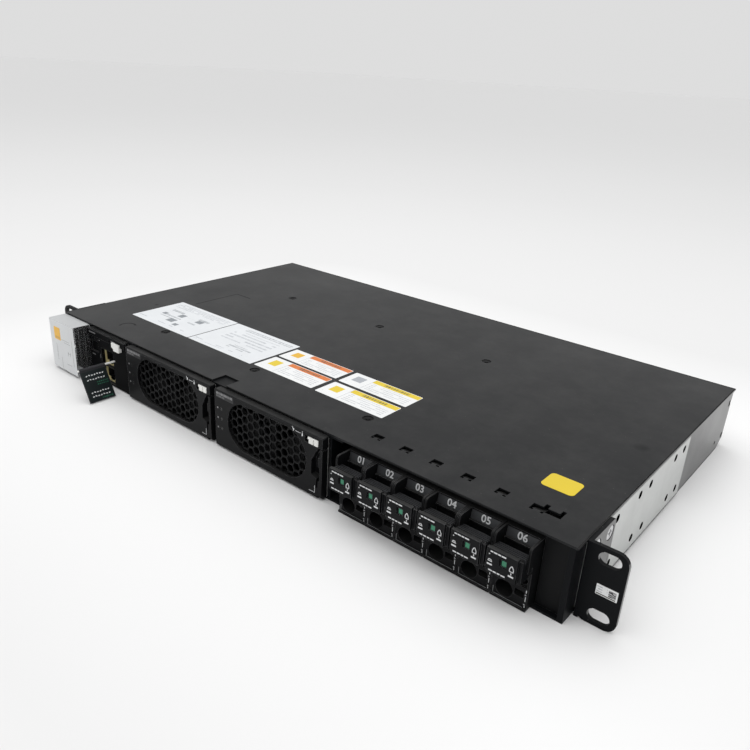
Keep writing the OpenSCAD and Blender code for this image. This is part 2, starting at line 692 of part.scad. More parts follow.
module rectifier_socket() difference() {
    facing(backplane_y - socket_l, socket_l) translate([-socket_w / 2, board_z + board_t / 2 - socket_h / 2])
        square([socket_w, socket_h]);
    facing(backplane_y - socket_l - 1, socket_l) translate([-tongue_w / 2 - snug, board_z - snug])
        square([tongue_w + 2 * snug, board_t + 2 * snug]);
}

bar_t = 3;
bar_h = 16;

module bus_bars() color("#b87333") {
    x0 = bay_x(1);
    x1 = breaker_x(breaker_count) + breaker_w + 6;
    y0 = backplane_y + board_t;
    for (k = [0, 1]) {
        z = sheet_t + 2 + k * (bar_h + 3);
        reach = x1 - k * 6;
        lying(z, bar_h) {
            translate([x0, y0]) square([reach - x0, bar_t]);
            translate([reach - bar_t, breaker_d + 5 * k]) square([bar_t, y0 + bar_t - breaker_d - 5 * k]);
            translate([breaker_x(1), breaker_d + 5 * k]) square([reach - breaker_x(1), bar_t]);
        }
    }
}

// ---- breakers; their outlines start at the breaker's left side ----

module at_breaker(n) translate([breaker_x(n), 0, 0]) children();

module cheek_outline() {
    polygon([[lip_y, skirt_z], [lip_y, lip_h], [plug_y, lip_h], [plug_y, cheek_foot - 2.4],
        [cheek_y + 1, cheek_foot - 0.6], [cheek_y, cheek_foot], [cheek_y, breaker_h - cheek_r],
        [cheek_y + cheek_r, breaker_h - cheek_r], [cheek_y + cheek_r, breaker_h], [breaker_d, breaker_h],
        [breaker_d, sheet_t + 0.1], [-0.2, sheet_t + 0.1], [-0.2, skirt_z]]);
    translate([cheek_y + cheek_r, breaker_h - cheek_r]) circle(cheek_r);
}

module core_outline() polygon([[lip_y, skirt_z], [lip_y, lip_h], [plug_y, lip_h], [plug_y, plug_h],
    [deck_y, plug_h], [deck_y, deck_h], [well_y, deck_h], [well_y, sill_h], [well_y - 1.1, sill_h],
    [well_y - 1.1, sill_h + 0.8], [well_y, sill_h + 0.8], [well_y + 1, breaker_h - 0.9],
    [well_y + 0.5, breaker_h - 0.8], [well_y + 0.5, breaker_h], [breaker_d, breaker_h],
    [breaker_d, sheet_t + 0.1], [-0.2, sheet_t + 0.1], [-0.2, skirt_z]]);

module breaker(n) color(plastic) at_breaker(n) difference() {
    union() {
        for (x = [0, breaker_w - cheek_t]) across(x, cheek_t) cheek_outline();
        across(cheek_t - 0.01, breaker_w - 2 * cheek_t + 0.02) core_outline();
        // latch nose that snaps into the cover's slot
        across(breaker_w / 2 + latch_dx - latch_w / 2, latch_w)
            polygon([[latch_y + latch_lead, breaker_h - 0.01], [latch_y + latch_lead, shelf_h - 0.5],
                [latch_y + latch_l - 0.4, wall_h - 0.6], [latch_y + 14, breaker_h - 0.01]]);
    }
    along_y(cable_x, lip_y - 1, cable_z, cable_d, cable_l + 1);
    facing(plug_y - 2, 8) translate([key_x, key_z]) square([key_w, key_h]);
    along_y(breaker_w - cheek_t - terminal_screw_d / 2 - 0.6, deck_y - 1, 16, terminal_screw_d, 7);
    along_x(-1, pivot_y, pivot_z, trunnion_d + 2 * run_fit, breaker_w + 2);
}

module handle_outline() polygon([[grip_y + grip_t, handle_z], [grip_y + grip_t, handle_top],
    [handle_back, handle_rear_top], [handle_back, handle_z + 1.2], [handle_back - 1.2, handle_z]]);

module breaker_handle(n) color(plastic) at_breaker(n) difference() {
    union() {
        facing(grip_y, grip_t) translate([grip_x, handle_z]) polygon([[1.2, 0], [grip_w, 0],
            [grip_w, handle_top - handle_z], [0, handle_top - handle_z], [0, 1.8]]);
        across(cheek_t + handle_gap, breaker_w - 2 * cheek_t - 2 * handle_gap) handle_outline();
        along_x(0.1, pivot_y, pivot_z, trunnion_d, breaker_w - 0.2);
    }
    // grooves that leave finger ribs across the sloping top
    slope = atan2(handle_top - handle_rear_top, handle_back - grip_y - grip_t);
    translate([0, front_y + grip_y + grip_t, handle_top]) rotate([-slope, 0, 0])
        for (i = [0 : 3]) translate([-1, 0.9 + i * rib_pitch, -rib_depth]) cube([breaker_w + 2, 0.7, 3]);
    // notch between the grip plate and the broader part behind it
    translate([grip_x + grip_w - 0.8, front_y + grip_y + grip_t - 0.01, handle_top - 1.4]) cube([4, 0.8, 3]);
    // window for the state flag
    facing(grip_y - 1, 1.9) translate([grip_x + grip_w * 0.5, handle_z + 6.4]) square([window_w, window_h]);
}

chassis_base();
top_cover();
divider(0);  // divider_left
divider(1);  // divider_middle
divider(2);  // divider_right
side_plate(-1);  // side_plate_left
side_plate(1);  // side_plate_right
ear(-1);  // ear_left
ear(1);  // ear_right
ear_screws();
cover_screws();
blank_panel();
ac_terminal_block();
ac_terminal_screws();
ac_cover();
ac_strips();
monitor_case();
monitor_face();
monitor_board();
jack(0);  // jack_lower
jack(1);  // jack_upper
monitor_lock();
tag_pin();
tag_card();
rectifier_case(1);  // rectifier_case_1
rectifier_case(2);  // rectifier_case_2
rectifier_bezel(1);  // rectifier_bezel_1
rectifier_bezel(2);  // rectifier_bezel_2
grille(1);  // grille_1
grille(2);  // grille_2
fan_frame(1);  // fan_frame_1
fan_frame(2);  // fan_frame_2
fan_rotor(1, -1);  // fan_rotor_1a
fan_rotor(1, 1);  // fan_rotor_1b
fan_rotor(2, -1);  // fan_rotor_2a
fan_rotor(2, 1);  // fan_rotor_2b
latch_lever(1);  // latch_lever_1
latch_lever(2);  // latch_lever_2
lock_slider(1);  // lock_slider_1
lock_slider(2);  // lock_slider_2
light_pipes(1);  // light_pipes_1
light_pipes(2);  // light_pipes_2
power_board(1);  // power_board_1
power_board(2);  // power_board_2
backplane_board();
backplane_sockets();
bus_bars();
breaker(1);  // breaker_1
breaker(2);  // breaker_2
breaker(3);  // breaker_3
breaker(4);  // breaker_4
breaker(5);  // breaker_5
breaker(6);  // breaker_6
breaker_handle(1);  // breaker_handle_1
breaker_handle(2);  // breaker_handle_2
breaker_handle(3);  // breaker_handle_3
breaker_handle(4);  // breaker_handle_4
breaker_handle(5);  // breaker_handle_5
breaker_handle(6);  // breaker_handle_6
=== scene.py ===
import json
import math

import bpy
from mathutils import Matrix, Vector

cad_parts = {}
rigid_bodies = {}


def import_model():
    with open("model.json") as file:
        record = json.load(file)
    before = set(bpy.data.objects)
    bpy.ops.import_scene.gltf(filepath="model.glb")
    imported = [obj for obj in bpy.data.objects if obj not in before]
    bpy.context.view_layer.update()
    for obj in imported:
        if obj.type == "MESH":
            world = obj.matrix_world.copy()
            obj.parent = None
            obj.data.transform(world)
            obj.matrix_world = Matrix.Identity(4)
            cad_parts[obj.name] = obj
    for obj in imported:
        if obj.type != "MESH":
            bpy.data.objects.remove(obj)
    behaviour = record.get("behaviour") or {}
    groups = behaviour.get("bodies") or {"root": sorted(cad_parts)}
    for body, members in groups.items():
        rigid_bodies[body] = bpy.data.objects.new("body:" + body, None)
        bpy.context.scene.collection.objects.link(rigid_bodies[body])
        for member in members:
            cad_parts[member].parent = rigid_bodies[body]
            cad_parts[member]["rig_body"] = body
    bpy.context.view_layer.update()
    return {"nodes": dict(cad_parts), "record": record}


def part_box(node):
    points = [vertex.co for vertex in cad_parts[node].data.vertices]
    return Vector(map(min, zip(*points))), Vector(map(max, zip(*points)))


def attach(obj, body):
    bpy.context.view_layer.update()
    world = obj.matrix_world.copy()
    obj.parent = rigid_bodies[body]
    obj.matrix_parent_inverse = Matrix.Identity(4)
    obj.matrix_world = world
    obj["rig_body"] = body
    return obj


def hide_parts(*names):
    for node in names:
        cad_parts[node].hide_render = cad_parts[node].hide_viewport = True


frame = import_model()
nodes = frame["nodes"]
mm = 0.001

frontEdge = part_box("chassis_base")[0].y
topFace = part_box("top_cover")[1].z
print("frame loaded")


# ---- small helpers for shader trees ----

def addNode(tree, kind, inputs=None, **settings):
    made = tree.nodes.new(kind)
    for key, value in settings.items():
        setattr(made, key, value)
    for socket, value in (inputs or {}).items():
        if isinstance(value, bpy.types.NodeSocket):
            tree.links.new(value, made.inputs[socket])
        else:
            made.inputs[socket].default_value = value
    return made


def maths(tree, operation, *values, clamp=False):
    made = addNode(tree, "ShaderNodeMath", dict(enumerate(values)), operation=operation, use_clamp=clamp)
    return made.outputs[0]


def times(tree, first, *others):
    for other in others:
        first = maths(tree, "MULTIPLY", first, other)
    return first


def vectorMaths(tree, operation, *values):
    return addNode(tree, "ShaderNodeVectorMath", dict(enumerate(values)), operation=operation).outputs


def axesOf(tree, vector):
    return addNode(tree, "ShaderNodeSeparateXYZ", {0: vector}).outputs


def facingAxes(tree):
    return axesOf(tree, addNode(tree, "ShaderNodeNewGeometry").outputs["Normal"])


def blendColours(tree, factor, first, second, mode="MIX"):
    made = addNode(tree, "ShaderNodeMix", {0: factor, 6: first, 7: second}, data_type="RGBA",
                   blend_type=mode)
    return made.outputs[2]


def remap(tree, value, fromLow, fromHigh, toLow=0.0, toHigh=1.0):
    made = addNode(tree, "ShaderNodeMapRange", {0: value, 1: fromLow, 2: fromHigh, 3: toLow, 4: toHigh})
    return made.outputs[0]


def startGroup(name, inputs, outputs):
    tree = bpy.data.node_groups.new(name, "ShaderNodeTree")
    for label, kind, value in inputs:
        socket = tree.interface.new_socket(name=label, in_out="INPUT", socket_type="NodeSocket" + kind)
        socket.default_value = value
    for label, kind in outputs:
        tree.interface.new_socket(name=label, in_out="OUTPUT", socket_type="NodeSocket" + kind)
    return tree, tree.nodes.new("NodeGroupInput").outputs, tree.nodes.new("NodeGroupOutput").inputs


def useGroup(tree, group, inputs=None):
    made = tree.nodes.new("ShaderNodeGroup")
    made.node_tree = group
    for socket, value in (inputs or {}).items():
        if isinstance(value, bpy.types.NodeSocket):
            tree.links.new(value, made.inputs[socket])
        else:
            made.inputs[socket].default_value = value
    return made.outputs


# rounded look along sharp edges, with a broken mask of where edges are painted lighter: partly rubbed wear,
# partly painted highlight
def buildEdgeGroup():
    tree, given, result = startGroup(
        "softEdges",
        [("Vector", "Vector", (0, 0, 0)), ("Radius", "Float", 0.0004), ("Gain", "Float", 4.0),
         ("Breakup", "Float", 60.0)],
        [("Mask", "Float"), ("Normal", "Vector")])
    rounded = addNode(tree, "ShaderNodeBevel", {"Radius": given["Radius"]}, samples=4)
    flat = addNode(tree, "ShaderNodeNewGeometry")
    facing = vectorMaths(tree, "DOT_PRODUCT", rounded.outputs[0], flat.outputs["Normal"])["Value"]
    bend = times(tree, maths(tree, "SUBTRACT", 1.0, facing), given["Gain"])
    patches = addNode(tree, "ShaderNodeTexNoise",
                      {"Vector": given["Vector"], "Scale": given["Breakup"], "Detail": 4.0})
    rubbedAndLit = remap(tree, patches.outputs[0], 0.35, 0.65)
    tree.links.new(maths(tree, "MULTIPLY", bend, rubbedAndLit, clamp=True), result["Mask"])
    tree.links.new(rounded.outputs[0], result["Normal"])
    return tree


# fine surface grain as a height, and slow cloudy changes across a face
def buildGrainGroup():
    tree, given, result = startGroup(
        "grain",
        [("Vector", "Vector", (0, 0, 0)), ("Scale", "Float", 1500.0), ("Cloud Scale", "Float", 14.0)],
        [("Height", "Float"), ("Cloud", "Float"), ("Fleck", "Float")])
    fine = addNode(tree, "ShaderNodeTexNoise",
                   {"Vector": given["Vector"], "Scale": given["Scale"], "Detail": 2.0})
    cloud = addNode(tree, "ShaderNodeTexNoise",
                    {"Vector": given["Vector"], "Scale": given["Cloud Scale"], "Detail": 5.0,
                     "Roughness": 0.6})
    fleck = addNode(tree, "ShaderNodeTexVoronoi", {"Vector": given["Vector"], "Scale": 160.0})
    tree.links.new(fine.outputs[0], result["Height"])
    tree.links.new(remap(tree, cloud.outputs[0], 0.3, 0.7), result["Cloud"])
    tree.links.new(maths(tree, "LESS_THAN", fleck.outputs["Distance"], 0.045), result["Fleck"])
    return tree


# dust that settles on faces that look up
def buildDustGroup():
    tree, given, result = startGroup(
        "settledDust", [("Vector", "Vector", (0, 0, 0)), ("Amount", "Float", 0.2)], [("Mask", "Float")])
    lying = remap(tree, facingAxes(tree)["Z"], 0.5, 1.0)
    patches = addNode(tree, "ShaderNodeTexNoise",
                      {"Vector": given["Vector"], "Scale": 35.0, "Detail": 8.0, "Roughness": 0.75})
    spread = remap(tree, patches.outputs[0], 0.42, 0.75)
    tree.links.new(maths(tree, "MULTIPLY", times(tree, lying, spread), given["Amount"], clamp=True),
                   result["Mask"])
    return tree


# a rectangle on the x-y plane of its vector, in metres
def buildFieldGroup():
    tree, given, result = startGroup(
        "field",
        [("Vector", "Vector", (0, 0, 0)), ("Left", "Float", 0.0), ("Right", "Float", 0.01),
         ("Foot", "Float", 0.0), ("Head", "Float", 0.01)],
        [("Mask", "Float")])
    at = axesOf(tree, given["Vector"])
    inside = [
        maths(tree, "GREATER_THAN", at["X"], given["Left"]),
        maths(tree, "LESS_THAN", at["X"], given["Right"]),
        maths(tree, "GREATER_THAN", at["Y"], given["Foot"]),
        maths(tree, "LESS_THAN", at["Y"], given["Head"]),
    ]
    tree.links.new(times(tree, *inside), result["Mask"])
    return tree


# rows of short strokes that read as small print from arm's length and say nothing
def buildRowsGroup():
    tree, given, result = startGroup(
        "strokeRows",
        [("Vector", "Vector", (0, 0, 0)), ("Pitch", "Float", 0.002), ("Stroke", "Float", 0.0006),
         ("Share", "Float", 0.5), ("Fill", "Float", 0.7), ("Seed", "Float", 0.0)],
        [("Mask", "Float")])
    at = axesOf(tree, given["Vector"])
    row = maths(tree, "DIVIDE", at["Y"], given["Pitch"])
    band = maths(tree, "LESS_THAN", maths(tree, "FRACT", row), given["Share"])
    rowNumber = maths(tree, "ADD", maths(tree, "FLOOR", row), given["Seed"])
    column = maths(tree, "DIVIDE", at["X"], given["Stroke"])
    strokes = addNode(tree, "ShaderNodeCombineXYZ", {0: maths(tree, "FLOOR", column), 1: rowNumber, 2: 0.0})
    word = maths(tree, "FLOOR", maths(tree, "DIVIDE", column, 6.0))
    words = addNode(tree, "ShaderNodeCombineXYZ", {0: word, 1: rowNumber, 2: 3.0})
    strokeDice = addNode(tree, "ShaderNodeTexWhiteNoise", {0: strokes.outputs[0]})
    wordDice = addNode(tree, "ShaderNodeTexWhiteNoise", {0: words.outputs[0]})
    printed = maths(tree, "LESS_THAN", wordDice.outputs["Value"], given["Fill"])
    weight = remap(tree, strokeDice.outputs["Value"], 0.0, 1.0, 0.45, 1.0)
    inked = times(tree, maths(tree, "LESS_THAN", maths(tree, "FRACT", column), 0.68), weight)
    tree.links.new(times(tree, band, printed, inked), result["Mask"])
    return tree


edgeGroup = buildEdgeGroup()
grainGroup = buildGrainGroup()
dustGroup = buildDustGroup()
fieldGroup = buildFieldGroup()
rowsGroup = buildRowsGroup()
print("shader groups built")


def grainOver(tree, place, scale, cloudScale):
    return useGroup(tree, grainGroup, {"Vector": place, "Scale": scale, "Cloud Scale": cloudScale})


def fieldMask(tree, vector, left, right, foot, head):
    sides = {"Vector": vector, "Left": left, "Right": right, "Foot": foot, "Head": head}
    return useGroup(tree, fieldGroup, sides)["Mask"]


# ---- finishes ----

def startMaterial(name):
    made = bpy.data.materials.new(name)
    made.use_nodes = True
    tree = made.node_tree
    shader = tree.nodes["Principled BSDF"]
    place = addNode(tree, "ShaderNodeTexCoord").outputs["Object"]
    return made, tree, shader, place


# links what every finish ends in: colour, roughness and the normal with its fine relief
def dress(tree, shader, colour, rough, height, strength, depth, normal=None):
    tree.links.new(colour, shader.inputs["Base Color"])
    tree.links.new(rough, shader.inputs["Roughness"])
    relief = {"Height": height, "Strength": strength, "Distance": depth}
    if normal is not None:
        relief["Normal"] = normal
    tree.links.new(addNode(tree, "ShaderNodeBump", relief).outputs[0], shader.inputs["Normal"])


# shallow marks pressed into the cover, in metres
coverScores = {
    "strips": [(-0.1716, -0.1706, -0.036, 0.009), (-0.1716, -0.1535, 0.0083, 0.0094)],
    "arc": {"middle": (-0.1607, -0.1078, 0), "radius": 0.0058, "half": 0.0008, "toward": (-0.77, 0.64, 0),
            "from": 0.0005},
    "spots": [((-0.1905, -0.0613, 0), 0.002), ((0.2055, -0.01, 0), 0.0055)],
    "spotCore": 0.3,
    "spotStrength": 0.6,
    "press": -2.5,
    "rougher": 0.25,
}


def markCover(tree, place):
    low = vectorMaths(tree, "MULTIPLY", place, (1, 1, 0))[0]
    mask = 0.0
    for strip in coverScores["strips"]:
        mask = maths(tree, "MAXIMUM", mask, fieldMask(tree, low, *strip))
    arc = coverScores["arc"]
    away = vectorMaths(tree, "SUBTRACT", low, arc["middle"])[0]
    reach = vectorMaths(tree, "LENGTH", away)["Value"]
    off = maths(tree, "ABSOLUTE", maths(tree, "SUBTRACT", reach, arc["radius"]))
    side = vectorMaths(tree, "DOT_PRODUCT", away, arc["toward"])["Value"]
    near, ahead = maths(tree, "LESS_THAN", off, arc["half"]), maths(tree, "GREATER_THAN", side, arc["from"])
    mask = maths(tree, "MAXIMUM", mask, times(tree, near, ahead))
    for middle, radius in coverScores["spots"]:
        reach = vectorMaths(tree, "DISTANCE", low, middle)["Value"]
        spot = remap(tree, reach, radius, radius * coverScores["spotCore"], 0.0,
                     coverScores["spotStrength"])
        mask = maths(tree, "MAXIMUM", mask, spot)
    return mask


# the first tint is dust; the second is a painted highlight on faces that look up; the third is painted
# shade in holes
dustAndPaintedLight = {"dust": (0.42, 0.41, 0.39, 1), "topSheen": (0.42, 0.42, 0.41, 1), "hole": (0.004, 0.004, 0.004, 1)}


# painted shade: the walls of the holes through a side plate, and its lower edge, are painted almost black
def paintHoleShade(tree, place, look, colour):
    across = maths(tree, "ABSOLUTE", facingAxes(tree)["X"])
    inward = maths(tree, "LESS_THAN", across, look["wallFacing"])
    at = axesOf(tree, place)
    upended = addNode(tree, "ShaderNodeCombineXYZ", {0: at["Y"], 1: at["Z"]}).outputs[0]
    holeWallShade = times(tree, inward, fieldMask(tree, upended, *look["pierced"]))
    foot = maths(tree, "LESS_THAN", at["Z"], look["footShadowHeight"])
    return blendColours(tree, maths(tree, "MAXIMUM", holeWallShade, foot), colour, dustAndPaintedLight["hole"])


# painted highlight on the ridges and painted shade in the grooves across the top of a breaker's handle
def paintRibHighlightAndShade(tree, place, ribs, colour):
    at = axesOf(tree, place)
    start = frontEdge + ribs["first"]
    turn = maths(tree, "FRACT", maths(tree, "DIVIDE", maths(tree, "SUBTRACT", at["Y"], start),
                                      ribs["pitch"]))
    high, back = maths(tree, "GREATER_THAN", at["Z"], ribs["above"]), maths(tree, "GREATER_THAN", at["Y"],
        start)
    top = times(tree, high, back)
    ridgeHighlight = times(tree, top, maths(tree, "GREATER_THAN", turn, ribs["share"]))
    colour = blendColours(tree, ridgeHighlight, colour, ribs["ridgeHighlight"])
    groove = times(tree, top, maths(tree, "LESS_THAN", turn, ribs["share"]))
    return blendColours(tree, groove, colour, ribs["groove"])


# painted reflection: where the tray's black outer sides are given a grey metallic colour that stands in for
# their grazing sheen
def sideSheenMask(tree, place, sideSheenLook):
    across = maths(tree, "ABSOLUTE", facingAxes(tree)["X"])
    at = axesOf(tree, place)
    behind = maths(tree, "GREATER_THAN", at["Y"], sideSheenLook["behind"])
    outside = maths(tree, "GREATER_THAN", maths(tree, "ABSOLUTE", at["X"]), sideSheenLook["outside"])
    raised = maths(tree, "GREATER_THAN", at["Z"], sideSheenLook["above"])
    side = maths(tree, "GREATER_THAN", across, sideSheenLook["facing"])
    return times(tree, maths(tree, "MAXIMUM", behind, outside), raised, side)


# paint, moulded plastic and plated metal all share this build
def makeFinish(name, look):
    made, tree, shader, place = startMaterial(name)
    grain = grainOver(tree, place, look["grainScale"], look.get("cloudScale", 14.0))
    rounding = {"Vector": place, "Radius": look.get("edgeRadius", 0.0004),
                "Gain": look.get("edgeGain", 2.0)}
    edges = useGroup(tree, edgeGroup, rounding)
    colour = blendColours(tree, grain["Cloud"], look["colour"], look["shade"])
    # edges painted lighter: partly rubbed wear, partly painted highlight along the rounded edges
    colour = blendColours(tree, times(tree, edges["Mask"], look.get("edgeWearAndGlintAmount", 0.4)), colour, look["edgeWearAndGlint"])
    if look.get("dust"):
        dust = useGroup(tree, dustGroup, {"Vector": place, "Amount": look["dust"]})["Mask"]
        flecks = times(tree, grain["Fleck"], look.get("flecks", 0.0))
        colour = blendColours(tree, maths(tree, "ADD", dust, flecks, clamp=True), colour, dustAndPaintedLight["dust"])
    # painted highlight: faces that look up are painted lighter, as if lit from above
    if look.get("topSheen"):
        lying = remap(tree, facingAxes(tree)["Z"], 0.3, 0.95, 0.0, look["topSheen"])
        colour = blendColours(tree, lying, colour, dustAndPaintedLight["topSheen"])
    # painted shade in the side plate's holes and along its foot
    if look.get("pierced"):
        colour = paintHoleShade(tree, place, look, colour)
    # painted highlight on the handle's ridges and painted shade in its grooves
    if look.get("ribbed"):
        colour = paintRibHighlightAndShade(tree, place, look["ribbed"], colour)
    height = grain["Height"]
    rough = remap(tree, grain["Cloud"], 0.0, 1.0, *look["rough"])
    shader.inputs["Metallic"].default_value = look.get("metal", 0.0)
    # painted reflection on the tray's black outer sides
    sideSheenLook = look.get("sideSheen")
    if sideSheenLook:
        metal = sideSheenMask(tree, place, sideSheenLook)
        colour = blendColours(tree, metal, colour,
                              blendColours(tree, grain["Cloud"], sideSheenLook["colour"], sideSheenLook["shade"]))
        rough = maths(tree, "MULTIPLY_ADD", metal, sideSheenLook["smoother"], rough)
        tree.links.new(metal, shader.inputs["Metallic"])
    if look.get("scored"):
        scores = markCover(tree, place)
        height = maths(tree, "MULTIPLY_ADD", scores, coverScores["press"], height)
        rough = maths(tree, "MULTIPLY_ADD", scores, coverScores["rougher"], rough)
    shader.inputs["Specular IOR Level"].default_value = look.get("specular", 0.5)
    dress(tree, shader, colour, rough, height, look.get("bump", 0.3), 0.00005, edges["Normal"])
    return made


# in these finishes the lighter edge colours are partly wear and partly painted highlight, faces that look
# up get a painted highlight, handle ribs get painted highlight and painted shade, and the tray's outer
# sides get a painted reflection
finishes = {
    "blackPaint": {"colour": (0.0042, 0.0047, 0.0056, 1), "shade": (0.0058, 0.0064, 0.0074, 1),
                   "edgeWearAndGlint": (0.12, 0.12, 0.125, 1), "specular": 0.07,
                   "sideSheen": {"behind": 0.0305, "outside": 0.2205, "above": 1.0 * mm, "facing": 0.9,
                                 "colour": (0.165, 0.165, 0.165, 1), "shade": (0.12, 0.12, 0.12,
                                     1), "smoother": -0.12},
                   "rough": (0.40, 0.47), "grainScale": 1400.0, "bump": 0.2, "edgeWearAndGlintAmount": 0.3, "dust": 0.035,
                   "flecks": 0.1, "edgeRadius": 0.0004},
    "zincPlate": {"colour": (0.62, 0.63, 0.62, 1), "shade": (0.54, 0.55, 0.54, 1),
                  "edgeWearAndGlint": (0.8, 0.8, 0.8, 1), "metal": 1.0,
                  "rough": (0.36, 0.46), "grainScale": 900.0, "cloudScale": 26.0, "bump": 0.25, "edgeWearAndGlintAmount": 0.3,
                  "edgeRadius": 0.0003},
    "screwSteel": {"colour": (0.70, 0.71, 0.72, 1), "shade": (0.6, 0.6, 0.61, 1),
                   "edgeWearAndGlint": (0.9, 0.9, 0.9, 1), "metal": 1.0,
                   "rough": (0.25, 0.38), "grainScale": 3000.0, "bump": 0.2, "edgeWearAndGlintAmount": 0.4,
                   "edgeRadius": 0.0002},
    "coverScrew": {"colour": (0.003, 0.003, 0.0032, 1), "shade": (0.004, 0.004, 0.0042, 1),
                   "edgeWearAndGlint": (0.1, 0.1, 0.1, 1), "specular": 0.08,
                   "rough": (0.35, 0.45), "grainScale": 3000.0, "bump": 0.2, "edgeWearAndGlintAmount": 0.3,
                   "edgeRadius": 0.0002},
    "mouldedBlack": {"colour": (0.0046, 0.0048, 0.0053, 1), "shade": (0.0064, 0.0066, 0.0072, 1),
                     "edgeWearAndGlint": (0.24, 0.24, 0.25, 1), "specular": 0.1,
                     "rough": (0.38, 0.48), "grainScale": 2600.0, "bump": 0.3, "edgeWearAndGlintAmount": 0.9, "edgeGain": 3.5,
                     "topSheen": 0.03, "dust": 0.05, "edgeRadius": 0.00028},
    "handleBlack": {"colour": (0.0042, 0.0045, 0.0052, 1), "shade": (0.006, 0.0063, 0.007, 1),
                    "edgeWearAndGlint": (0.30, 0.30, 0.31, 1), "specular": 0.1,
                    "rough": (0.34, 0.44), "grainScale": 2600.0, "bump": 0.25, "edgeWearAndGlintAmount": 0.95,
                    "edgeGain": 4.5, "topSheen": 0.05, "dust": 0.06, "edgeRadius": 0.00022,
                    "ribbed": {"first": -11.52 * mm, "pitch": 1.667 * mm, "share": 0.43, "above": 30.4 * mm,
                               "ridgeHighlight": (0.042, 0.043, 0.046, 1), "groove": (0.0015, 0.0015, 0.0016, 1)}},
    "fanBlack": {"colour": (0.0032, 0.0033, 0.0036, 1), "shade": (0.0045, 0.0046, 0.005, 1),
                 "edgeWearAndGlint": (0.02, 0.02, 0.02, 1), "specular": 0.1,
                 "rough": (0.4, 0.5), "grainScale": 2200.0, "bump": 0.2, "edgeRadius": 0.0003},
    "whiteMoulded": {"colour": (0.86, 0.86, 0.83, 1), "shade": (0.80, 0.80, 0.77, 1),
                     "edgeWearAndGlint": (0.66, 0.65, 0.61, 1),
                     "rough": (0.42, 0.52), "grainScale": 2600.0, "bump": 0.15, "edgeWearAndGlintAmount": 0.3,
                     "edgeRadius": 0.0003},
    "boardGreen": {"colour": (0.02, 0.085, 0.04, 1), "shade": (0.03, 0.11, 0.055, 1),
                   "edgeWearAndGlint": (0.2, 0.25, 0.2, 1),
                   "rough": (0.3, 0.4), "grainScale": 1200.0, "bump": 0.2},
    "copperBar": {"colour": (0.72, 0.36, 0.19, 1), "shade": (0.58, 0.28, 0.15, 1),
                  "edgeWearAndGlint": (0.9, 0.6, 0.4, 1), "metal": 1.0,
                  "rough": (0.28, 0.42), "grainScale": 1500.0, "bump": 0.2},
    "lightPipe": {"colour": (0.012, 0.015, 0.013, 1), "shade": (0.02, 0.024, 0.021, 1),
                  "edgeWearAndGlint": (0.2, 0.22, 0.2, 1),
                  "rough": (0.15, 0.25), "grainScale": 2000.0, "bump": 0.1},
    "inkWhite": {"colour": (0.82, 0.83, 0.84, 1), "shade": (0.66, 0.67, 0.68, 1),
                 "edgeWearAndGlint": (0.4, 0.4, 0.4, 1),
                 "rough": (0.5, 0.6), "grainScale": 3500.0, "bump": 0.2},
    "inkGrey": {"colour": (0.26, 0.26, 0.265, 1), "shade": (0.18, 0.18, 0.185, 1),
                "edgeWearAndGlint": (0.2, 0.2, 0.2, 1),
                "rough": (0.5, 0.6), "grainScale": 3500.0, "bump": 0.2},
    "lineGrey": {"colour": (0.42, 0.43, 0.44, 1), "shade": (0.36, 0.37, 0.38, 1),
                 "edgeWearAndGlint": (0.4, 0.4, 0.4, 1),
                 "rough": (0.4, 0.5), "grainScale": 3500.0, "bump": 0.1},
    "seatGrey": {"colour": (0.052, 0.054, 0.057, 1), "shade": (0.044, 0.046, 0.049, 1),
                 "edgeWearAndGlint": (0.1, 0.1, 0.1, 1), "specular": 0.5,
                 "rough": (0.3, 0.4), "grainScale": 2200.0, "bump": 0.15, "edgeWearAndGlintAmount": 0.3},
    "flagGreen": {"colour": (0.03, 0.24, 0.13, 1), "shade": (0.025, 0.19, 0.10, 1),
                  "edgeWearAndGlint": (0.1, 0.3, 0.2, 1),
                  "rough": (0.35, 0.45), "grainScale": 2500.0, "bump": 0.15},
}
finishes["coverPaint"] = finishes["blackPaint"] | {"scored": True, "specular": 0.26}
finishes["deepBlack"] = finishes["mouldedBlack"] | {"colour": (0.003, 0.0032, 0.0036, 1),
                                                    "shade": (0.004, 0.0042, 0.0046, 1), "specular": 0.015}
finishes["grilleBlack"] = finishes["mouldedBlack"] | {"edgeWearAndGlintAmount": 0.45, "edgeGain": 2.0}
finishes["sidePlate"] = finishes["zincPlate"] | {"pierced": (-0.111, 0.028, 0.004, 0.040),
                                                 "footShadowHeight": 2.9 * mm, "wallFacing": 0.6}
looks = {name: makeFinish(name, look) for name, look in finishes.items()}
print("finishes made:", len(looks))


# plated shield outside, dark moulded insert inside the socket
jackLook = {"rim": 0.7 * mm, "plate": (0.86, 0.76, 0.42, 1), "tarnish": (0.66, 0.54, 0.24, 1),
            "insert": (0.012, 0.012, 0.012, 1)}


def makeJackMaterial(name, front):
    made, tree, shader, place = startMaterial(name)
    inside = maths(tree, "GREATER_THAN", axesOf(tree, place)["Y"], front + jackLook["rim"])
    grain = grainOver(tree, place, 1600.0, 120.0)
    plate = blendColours(tree, grain["Cloud"], jackLook["plate"], jackLook["tarnish"])
    colour = blendColours(tree, inside, plate, jackLook["insert"])
    tree.links.new(remap(tree, inside, 0, 1, 0.5, 0), shader.inputs["Metallic"])
    rough = remap(tree, grain["Cloud"], 0, 1, 0.25, 0.4)
    edges = useGroup(tree, edgeGroup, {"Vector": place, "Radius": 0.0003})
    dress(tree, shader, colour, rough, grain["Height"], 0.15, 0.00003, edges["Normal"])
    return made


clearLook = {"tint": (0.955, 0.965, 0.97, 1), "deep": (0.94, 0.95, 0.955, 1), "haze": (0.04, 0.10),
             "ior": 1.12}


